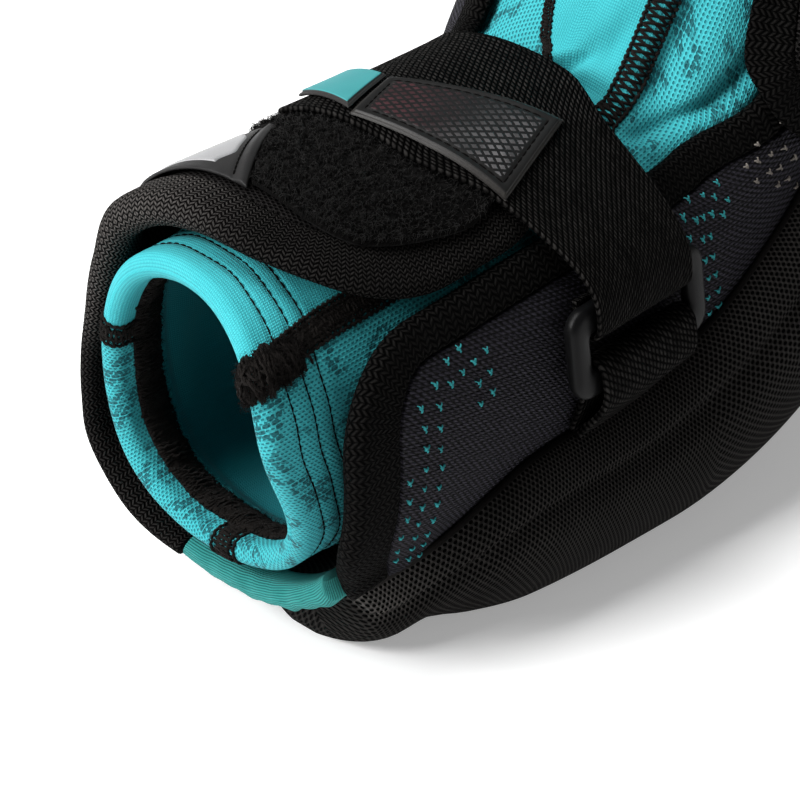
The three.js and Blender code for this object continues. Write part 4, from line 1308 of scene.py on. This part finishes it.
def make_loop_panel():
    def point(along, v, side):
        start, to = loop_ends(along)
        from_edge = np.minimum(along - LOOP.near, LOOP.far - along)
        around = mix(start, to, v)
        lift = rounded(LOOP.inner, LOOP.outer, side, from_edge + LOOP.blunt, LOOP.roll)
        return on_flap(along, around, lift)

    def cloth(along, v, side):
        return along, mix(*loop_ends(along), v) * ARC

    stations = LOOP.near + edged(LOOP.far - LOOP.near, LOOP.roll, 34)
    shape = walls(stations, spread(50), point, cloth=cloth)
    piece = dress("loop_ground", shape, PILE, "loop_pile", "loop_panel")


def make_pile(name, material, count, sizes, rises, radius):
    """Small curled loops standing all over the loop panel, of sizes and rises between two bounds."""
    along = rng.uniform(LOOP.near + LOOP.margin, LOOP.far - LOOP.margin, (count, 1))
    start, to = loop_ends(along)
    arc = mix(start, to, rng.uniform(0.005, 0.995, (count, 1))) * ARC
    t = np.linspace(0, 1, 4)
    heading = rng.uniform(0, 2 * np.pi, (count, 1)) + rng.normal(0, 1.5, (count, 1)) * t
    size = rng.uniform(*sizes, (count, 1)) * (t - 0.5)
    height = rng.uniform(*rises, (count, 1)) * np.sin(np.pi * t) - 0.1
    along, around = along + size * np.cos(heading), (arc + size * np.sin(heading)) / ARC
    path = on_flap(along, around, LOOP.outer + height)
    dress(name, tubes(path, radius / 1000, sides=4), material, "loop_pile")


def badge_lift(along, around, side):
    """The badge: its slanted edge has a raised rim and a sewn groove, the others go under the tape."""
    from_slant = (around - badge_edge(along)) * ARC * BADGE.square
    edge = np.minimum(np.minimum(along - BADGE.near, BADGE.far - along), from_slant)
    lift = rounded(BADGE.inner, BADGE.outer - BADGE.lower, side, edge + BADGE.blunt, BADGE.roll)
    if side:
        rim = BADGE_RIM.rise * bell((from_slant - BADGE_RIM.inset) / BADGE_RIM.width)
        lift = lift + rim - BADGE_GROOVE.depth * bell((from_slant - BADGE_GROOVE.inset) / BADGE_GROOVE.width)
    return lift


def make_badge():
    def badge_around(along, v):
        return mix(badge_edge(along), BADGE.to, v)

    def point(along, v, side):
        around = badge_around(along, v)
        return on_flap(along, around, badge_lift(along, around, side))

    def cloth(along, v, side):
        return along, badge_around(along, v) * ARC

    stations = BADGE.near + edged(BADGE.far - BADGE.near, BADGE.roll, 40)
    rim_share = 0.12
    shares = np.concatenate([np.linspace(0, rim_share, 24)[:-1], np.linspace(rim_share, 1, 60)])
    shape = walls(stations, shares, point, cloth=cloth)
    dress("badge_plate", shape, GREY_RUBBER, "badge_rubber", "flap_badge")

    def in_groove(run, height):
        along = BADGE.near + BADGE.margin + run * BADGE.climb
        around = badge_edge(along) + BADGE_GROOVE.inset / (ARC * BADGE.square)
        return on_flap(along, around, badge_lift(along, around, 1) + height)

    length = (BADGE.far - BADGE.near - 2 * BADGE.margin) / BADGE.climb
    stitches = stitch_row(in_groove, length, pitch=2.8, radius=0.28)
    dress("badge_stitches", stitches, BLACK_THREAD, "badge_rubber")


def make_badge_inlay():
    """A plain silver field set in the badge, cut back at both corners of its slanted side."""
    def point(along, v, side):
        span = (along - INLAY.near) / (INLAY.far - INLAY.near)
        near_cut = INLAY.near_cut * (1 - ease(span * 3))
        far_cut = INLAY.far_cut * (1 - ease((1 - span) * 3))
        start = badge_edge(along) + INLAY.start + near_cut + far_cut
        around = mix(start, INLAY.to, v)
        edge = np.minimum(np.minimum(along - INLAY.near, INLAY.far - along), (around - start) * ARC)
        rise = INLAY.rise * round_over(edge, INLAY.roll) if side else -INLAY.sunk
        return on_flap(along, around, BADGE.outer - BADGE.lower + rise)

    def cloth(along, v, side):
        return along, v * INLAY.length

    stations = INLAY.near + edged(INLAY.far - INLAY.near, INLAY.roll, 24)
    dress("badge_inlay", walls(stations, spread(60), point, cloth=cloth), SILVER, "badge_rubber")


# Flecks of bright yarn knitted into the right panel, in rows round the arm: where each row lies along it, and
# the arc it goes from and to. The rows' starts are staggered by a step, within a limit.
FLECK_PITCH = 6.5
FLECK_STAGGER = Spec(step=2.3, limit=1.5)
TEAL_FLECKS = table(
    "along first last",
    (19, 55, 92),
    (25, 49, 114),
    (31, 47, 117),
    (36.2, 109, 119),
    (41.5, 111, 121),
    (46.5, 98, 116),
    (51.2, 100, 118),
    (133.5, 109, 120),
    (138.5, 74, 121),
    (142, 79, 119),
    (146, 111, 121),
    (150, 107, 117),
    (154, 110, 119),
)
PALE_FLECKS = table(
    "along first last",
    (167, 106, 117),
    (171.5, 96, 112),
    (175.5, 87, 114),
    (180.5, 95, 107),
    (186, 88, 108),
)
# Strokes of a fleck: where each starts, along and round the arm, and how far it goes.
FLECK_STROKES = ((0, 0, -0.9, 1.3), (0, 0, 1, 1), (0.1, 0.2, 0.2, -1.3))


def make_flecks(name, rows, material):
    """Each fleck is a small hooked stitch of three strokes."""
    starts = [
        (along, arc)
        for number, (along, first, last) in enumerate(zip(*rows.values()))
        for arc in np.arange(first + number * FLECK_STAGGER.step % FLECK_STAGGER.limit, last, FLECK_PITCH)
    ]
    along, arc = (part[:, None] for part in np.array(starts).T)
    along = along + rng.normal(0, 0.25, along.shape)
    t = np.linspace(0, 1, 6)
    height = 0.12 + 0.3 * np.sin(np.pi * t)
    size = rng.uniform(0.75, 1.15, along.shape)
    hook = rng.normal(0, 0.3, along.shape)
    strokes = []
    for from_x, from_y, reach, drop in FLECK_STROKES:
        x = along + size * (from_x + reach * t + 0.25 * np.sin(np.pi * t) + hook * t)
        y = arc + size * (from_y + drop * t) + rng.normal(0, 0.12, along.shape)
        thick = rng.uniform(0.28, 0.46, along.shape) / 1000
        path = on_panel(RIGHT_PANEL, x, y, RIGHT_PANEL.outer + height)
        strokes.append(tubes(path, thick * (1 - 0.5 * t)))
    dress(name, joined(*strokes), material, "panel_knit")


def make_lining():
    """A soft roll of rib knit along the lower front edge, a little puckered."""
    nose = LINING.nose

    def point(along, around, side):
        from_nose = along - LINING.near
        ends = np.minimum(around - LINING.start, LINING.to - around)
        waves = np.sin(around * 0.62 + along * 0.3) * np.sin(around * 0.19)
        pucker = LINING.pucker * waves * ease(ends / 12)
        tapered = ease((LINING.to - around) / LINING.taper)
        full = mix(LINING.thin, LINING.outer - LINING.pucker + pucker, tapered)
        lift = rounded(LINING.inner, full, side, from_nose, nose)
        return place(along + 0.5 * pucker * bell(from_nose / 3), around, lift)

    def cloth(along, around, side):
        from_nose = along - LINING.near
        over = nose * np.arccos(1 - np.clip(from_nose / nose, 0, 1)) + np.maximum(from_nose - nose, 0)
        return (over if side else -over), around * ARC

    stations = LINING.near + edged(LINING.far - LINING.near, nose, 10, both=False)
    shape = walls(stations, np.linspace(LINING.start, LINING.to, 140), point, cloth=cloth)
    dress("lining_roll", shape, RIB, "rib_lining", "front_lining")


# Ring, strap, anchor and the strap's trim.
def ring_point(x, y, z):
    """A place in the ring's own plane: x up the arm, y round it, z out from it, in millimetres."""
    turn = math.radians(RING.around)
    outward = np.array([0, -math.sin(turn), -math.cos(turn)])
    round_it = np.array([0, -math.cos(turn), math.sin(turn)])
    x, y, z = np.broadcast_arrays(*(np.asarray(value, float) for value in (x, y, z)))
    middle = place_on_arm(RING.along, RING.around, RING.lift) - ORIGIN
    made = middle + y[..., None] * round_it + z[..., None] * outward
    made[..., 0] += x
    return made / 1000


def ribbon(path_at, thickness, count):
    """A band of webbing: path_at gives its points at a share of its width, 0 at the near edge."""
    across = edged(1, WEBBING_EDGE, count)
    paths = np.stack([path_at(v) for v in across], axis=1)
    tangent = np.gradient(paths, axis=0)
    tangent[..., 0] = 0
    tangent /= np.linalg.norm(tangent, axis=2, keepdims=True)
    face = np.stack([np.zeros_like(tangent[..., 0]), tangent[..., 2], -tangent[..., 1]], axis=-1)
    width = np.linalg.norm(paths[0, -1] - paths[0, 0]) * 1000
    run = path_run(paths[:, count // 2]) * 1000
    numbers = np.arange(len(run))
    columns = np.arange(len(across))

    def point(i, j, side):
        i, j = i.astype(int), j.astype(int)
        edge = np.minimum(across[j], 1 - across[j])
        half = thickness / 2000 * np.maximum(round_over(edge, WEBBING_EDGE), 0.3)
        return paths[i, j] + face[i, j] * (half * (1 if side else -1))[..., None]

    def cloth(i, j, side):
        return run[i.astype(int)], across[j.astype(int)] * width

    return walls(numbers, columns, point, cloth=cloth)


def smooth_path(points, count):
    """Points on a smooth curve through others, evenly spaced."""
    points = np.asarray(points)
    run = path_run(points)
    at = np.linspace(0, run[-1], count)
    rows = {"run": run, **{axis: points[:, i] for i, axis in enumerate("xyz")}}
    return np.stack([column(rows, axis, at, by="run") for axis in "xyz"], axis=-1)


def bar_wrap(hand, thickness, x):
    """Webbing round a long bar of the ring, from its outside to its inside; hand 1 is the upper bar."""
    radius = RING.depth / 2 + WRAP_GAP + thickness / 2
    middle = RING.height / 2 - RING.bar + RING.depth / 2
    turn = np.linspace(0, np.pi, 13)
    around = ring_point(x, hand * (middle - radius * np.sin(turn)), radius * np.cos(turn))
    crests = [ring_point(x, hand * RING.height / 2, z)[None] for z in (radius, -radius)]
    return np.concatenate([crests[0], around, crests[1]])


def strap_place(around, v):
    near = column(STRAP.edges, "near", around, by="around")
    return mix(near, column(STRAP.edges, "far", around, by="around"), v)


def make_strap():
    def path_at(v):
        around = np.linspace(STRAP.start, STRAP.to, 24)
        along = strap_place(around, v)
        droop = STRAP.droop * ease((along - FLAP.far + STRAP.droop_before) / STRAP.droop_over)
        over = on_flap(along, around, STRAP.lift - droop)
        at_ring = mix(STRAP.edges["near"][0], STRAP.edges["far"][0], v)
        wrap = bar_wrap(1, STRAP.thickness, at_ring - RING.along)
        return smooth_path(np.concatenate([over, wrap]), count=150)

    shape = ribbon(path_at, STRAP.thickness, count=20)
    piece = dress("strap_band", shape, WEBBING, "strap_webbing", "strap")


def make_anchor():
    def path_at(v):
        x = (v - 0.5) * ANCHOR.width
        along = RING.along + x
        foot = column(CAP, "lip", along) + ANCHOR.above_lip
        ends = [place(along, foot, lift)[None] for lift in (ANCHOR.outer, ANCHOR.inner)]
        wrap = bar_wrap(-1, ANCHOR.thickness, x)
        return smooth_path(np.concatenate([ends[0], wrap, ends[1]]), count=90)

    shape = ribbon(path_at, ANCHOR.thickness, count=24)
    piece = dress("anchor_band", shape, WEBBING, "strap_webbing", "anchor_webbing")


def trim_place(spec, t, v):
    """Along and around on a trim plate, at shares of its length from the tip and of its width."""
    tip, root = np.array(spec.tip, float), np.array(spec.root, float)
    t, v = np.asarray(t, float)[..., None], np.asarray(v, float)[..., None]
    where = mix(mix(tip[0], tip[1], v), mix(root[0], root[1], v), t)
    return where[..., 0], where[..., 1]


def trim_size(spec):
    """A trim plate's length, and its width at the tip and at the root, in millimetres."""
    tip, root = (np.array(corners, float) * (1, TRIM.arc) for corners in (spec.tip, spec.root))
    length = np.linalg.norm(tip.mean(axis=0) - root.mean(axis=0))
    return length, np.linalg.norm(tip[1] - tip[0]), np.linalg.norm(root[1] - root[0])


def trim_edge(spec, t, v):
    """The distance in millimetres from the nearest edge of a trim plate."""
    length, tip, root = trim_size(spec)
    return np.minimum(np.minimum(t, 1 - t) * length, np.minimum(v, 1 - v) * mix(tip, root, t))


def trim_top(spec):
    return STRAP.lift + STRAP.thickness / 2 + TRIM.gap + spec.thickness


def make_trim(name, spec, material, slot, node, relief):
    length, tip, root = trim_size(spec)

    def point(t, v, side):
        edge = trim_edge(spec, t, v)
        fall = 0.5 * spec.thickness * (1 - round_over(edge, TRIM.roll))
        lift = trim_top(spec) - (fall - relief(edge) if side else spec.thickness - fall)
        return on_flap(*trim_place(spec, t, v), lift)

    def cloth(t, v, side):
        return t * length, (v - 0.5) * mix(tip, root, t)

    def shares(size, count):
        inside = np.linspace(TRIM.inside, size - TRIM.inside, count)
        return np.concatenate([TRIM_ROWS, inside, size - TRIM_ROWS[::-1]]) / size

    us, vs = shares(length, 30), shares(tip, 12)
    shape = walls(us, vs, point, cloth=cloth)
    t, v = np.meshgrid(us, vs, indexing="ij")
    edge = trim_edge(spec, t, v).ravel()
    dress(name, shape, material, slot, node, edge=np.tile(edge, 2))


def tab_relief(edge):
    return TRIM.rise * ease((edge - TRIM.step_at) / TRIM.step_width) - TRIM.lower


def patch_relief(edge):
    return tab_relief(edge) - TRIM_GROOVE.depth * bell((edge - TRIM_GROOVE.inset) / TRIM_GROOVE.width)


def make_patch_stitches():
    """A row of stitches in the groove inside the patch's rim."""
    length, tip, root = trim_size(PATCH)
    end, at_tip, at_root = (TRIM_GROOVE.inset / size for size in (length, tip, root))
    corners = [(end, at_tip), (end, 1 - at_tip), (1 - end, 1 - at_root), (1 - end, at_root)]
    rows = []
    for first, second in zip(corners, corners[1:] + corners[:1]):
        first, second = np.array(first), np.array(second)
        width = mix(tip, root, (first[0] + second[0]) / 2)
        run_length = np.linalg.norm((second - first) * (length, width))

        def at(run, height, first=first, second=second, run_length=run_length):
            t, v = (mix(first[i], second[i], run / run_length) for i in (0, 1))
            return on_flap(*trim_place(PATCH, t, v), trim_top(PATCH) - TRIM_GROOVE.sunk + height)

        rows.append(stitch_row(at, run_length, pitch=2.9, radius=0.3))
    dress("patch_stitches", joined(*rows), BLACK_THREAD, "patch_rubber")


def make_ring():
    """A rounded frame: rings of points round the long slot, each a rounded section swept about it."""
    def outline(width, height, corner):
        arcs = []
        for quarter, (sx, sy) in enumerate(((1, 1), (-1, 1), (-1, -1), (1, -1))):
            angle = np.linspace(quarter, quarter + 1, 14) * np.pi / 2
            centre = np.array([sx * (width / 2 - corner), sy * (height / 2 - corner)])
            arcs.append(centre + corner * np.stack([np.cos(angle), np.sin(angle)], axis=-1))
        return np.concatenate(arcs)

    outer = outline(RING.slot + 2 * RING.side, RING.height, RING.corner)
    inner = outline(RING.slot, RING.height - 2 * RING.bar, RING.slot_corner)
    section = np.linspace(0, 2 * np.pi, 24, endpoint=False)
    across, out = (
        np.sign(wave) * np.abs(wave) ** RING.roundness for wave in (np.cos(section), np.sin(section))
    )
    share = (across[None, :] + 1) / 2
    xy = mix(inner[:, None], outer[:, None], share[..., None])
    points = ring_point(xy[..., 0], xy[..., 1], out * RING.depth / 2)
    rows, cols = points.shape[:2]
    number = np.arange(rows * cols).reshape(rows, cols)
    ahead, beside = np.roll(number, -1, axis=0), np.roll(number, -1, axis=1)
    faces = np.stack([number, ahead, np.roll(ahead, -1, axis=1), beside], axis=-1).reshape(-1, 4)
    points = points.reshape(-1, 3)
    if not facing_out(points, faces):
        faces = faces[:, ::-1]
    cloth = np.stack(np.meshgrid(np.arange(rows) * 2.0, np.arange(cols) * 0.6, indexing="ij"), axis=-1)
    shape = Shape(points, faces, cloth.reshape(-1, 2)[faces])
    dress("ring_frame", shape, PLASTIC, "ring_plastic", "ring")


make_sleeve()
make_sleeve_seams()
make_cuff_band()
make_cap()
make_panel("right_cover", RIGHT_PANEL, KNIT, "panel_knit", "right_panel")
make_panel("left_cover", LEFT_PANEL, KNIT, "panel_knit", "left_panel")
make_panel("wing_cover", RIGHT_WING, FLAP_CLOTH, "flap_mesh", "right_wing")
make_binding("right_edge", RIGHT_PANEL, "right_binding")
make_binding("left_edge", LEFT_PANEL, "left_binding")
make_binding("wing_edge", RIGHT_WING, "wing_binding")
make_flap()
make_flap_binding()
make_loop_panel()
make_pile("loop_curls", PILE, count=4400, sizes=(0.7, 1.9), rises=(0.4, 1.3), radius=0.12)
make_pile("loop_hairs", HAIR, count=3900, sizes=(1, 2.8), rises=(0.7, 1.9), radius=0.06)
make_badge()
make_badge_inlay()
make_flecks("teal_flecks", TEAL_FLECKS, TEAL_THREAD)
make_flecks("pale_flecks", PALE_FLECKS, PALE_THREAD)
make_lining()
make_strap()
make_anchor()
make_trim("patch_plate", PATCH, PATCH_RUBBER, "patch_rubber", "strap_patch", patch_relief)
make_trim("tab_plate", PULL_TAB, TAB_RUBBER, "tab_rubber", "pull_tab", tab_relief)
make_patch_stitches()
make_ring()


# Stage: a pale floor, a soft key light from the left, a fill, a top light and a camera.
FLOOR = Spec(half=9.0, drop=0.0002, tone=0.86, rough=0.9, glow=0.3)
# Each light's azimuth and elevation, its width in metres and its power in watts.
LIGHTS = {"key": (-112, 36, 1.0, 62), "fill": (10, 30, 1.4, 1), "top": (-145, 71, 1.4, 42)}
LIGHT_TARGET = Vector((-0.06, 0, 0.08))
LIGHT_DISTANCE = 2.2
# The camera looks from here, a distance in metres from the cuff's centre. Its lens and its aim beside and
# above that centre are in pixels of the photograph, which is 800 wide.
CAMERA = Spec(azimuth=-43, elevation=35, distance=0.9, focal=3393, aside=195, above=12, pixels=800, sensor=36)
SKY = 0.135


def direction(azimuth, elevation):
    """The way from the pad to a camera or a light."""
    a, e = math.radians(azimuth), math.radians(elevation)
    return Vector((math.sin(a) * math.cos(e), -math.cos(a) * math.cos(e), math.sin(e)))


def make_floor():
    mesh = bpy.data.meshes.new("floor")
    corners = [(x * FLOOR.half, y * FLOOR.half, 0) for x, y in ((-1, -1), (1, -1), (1, 1), (-1, 1))]
    mesh.from_pydata(corners, [], [(0, 1, 2, 3)])
    floor = bpy.data.objects.new("floor", mesh)
    floor.location.z = -FLOOR.drop
    material = bpy.data.materials.new("floor")
    material.use_nodes = True
    shader = material.node_tree.nodes["Principled BSDF"]
    shader.inputs["Base Color"].default_value = (FLOOR.tone, FLOOR.tone, FLOOR.tone, 1)
    shader.inputs["Roughness"].default_value = FLOOR.rough
    shader.inputs["Emission Color"].default_value = (1, 1, 1, 1)
    shader.inputs["Emission Strength"].default_value = FLOOR.glow
    mesh.materials.append(material)
    bpy.context.scene.collection.objects.link(floor)


def make_light(name, azimuth, elevation, size, power):
    light = bpy.data.lights.new(name, "AREA")
    light.shape = "DISK"
    light.size = size
    light.energy = power
    lamp = bpy.data.objects.new(name, light)
    away = direction(azimuth, elevation)
    lamp.location = LIGHT_TARGET + away * LIGHT_DISTANCE
    lamp.rotation_euler = (-away).to_track_quat("-Z", "Y").to_euler()
    bpy.context.scene.collection.objects.link(lamp)


def make_camera():
    """Stands where the photograph was taken from, aimed at the middle of its frame."""
    turn = math.radians(CAMERA.azimuth)
    cuff = Vector((-ORIGIN[0] / 1000, -ORIGIN[1] / 1000, ARM.height / 1000))
    away = direction(CAMERA.azimuth, CAMERA.elevation)
    right = Vector((math.cos(turn), math.sin(turn), 0))
    aim = -away * CAMERA.focal + right * CAMERA.aside + away.cross(right) * CAMERA.above
    data = bpy.data.cameras.new("camera")
    data.sensor_width = CAMERA.sensor
    data.lens = aim.length / CAMERA.pixels * data.sensor_width
    camera = bpy.data.objects.new("camera", data)
    camera.location = cuff + away * CAMERA.distance
    camera.rotation_euler = aim.to_track_quat("-Z", "Y").to_euler()
    bpy.context.scene.collection.objects.link(camera)
    bpy.context.scene.camera = camera


def make_sky():
    world = bpy.data.worlds.new("studio")
    bpy.context.scene.world = world
    world.use_nodes = True
    background = world.node_tree.nodes["Background"]
    background.inputs["Color"].default_value = (1, 1, 1, 1)
    background.inputs["Strength"].default_value = SKY


make_floor()
for name, values in LIGHTS.items():
    make_light(name, *values)
make_camera()
make_sky()
bpy.context.scene.view_settings.view_transform = "Standard"
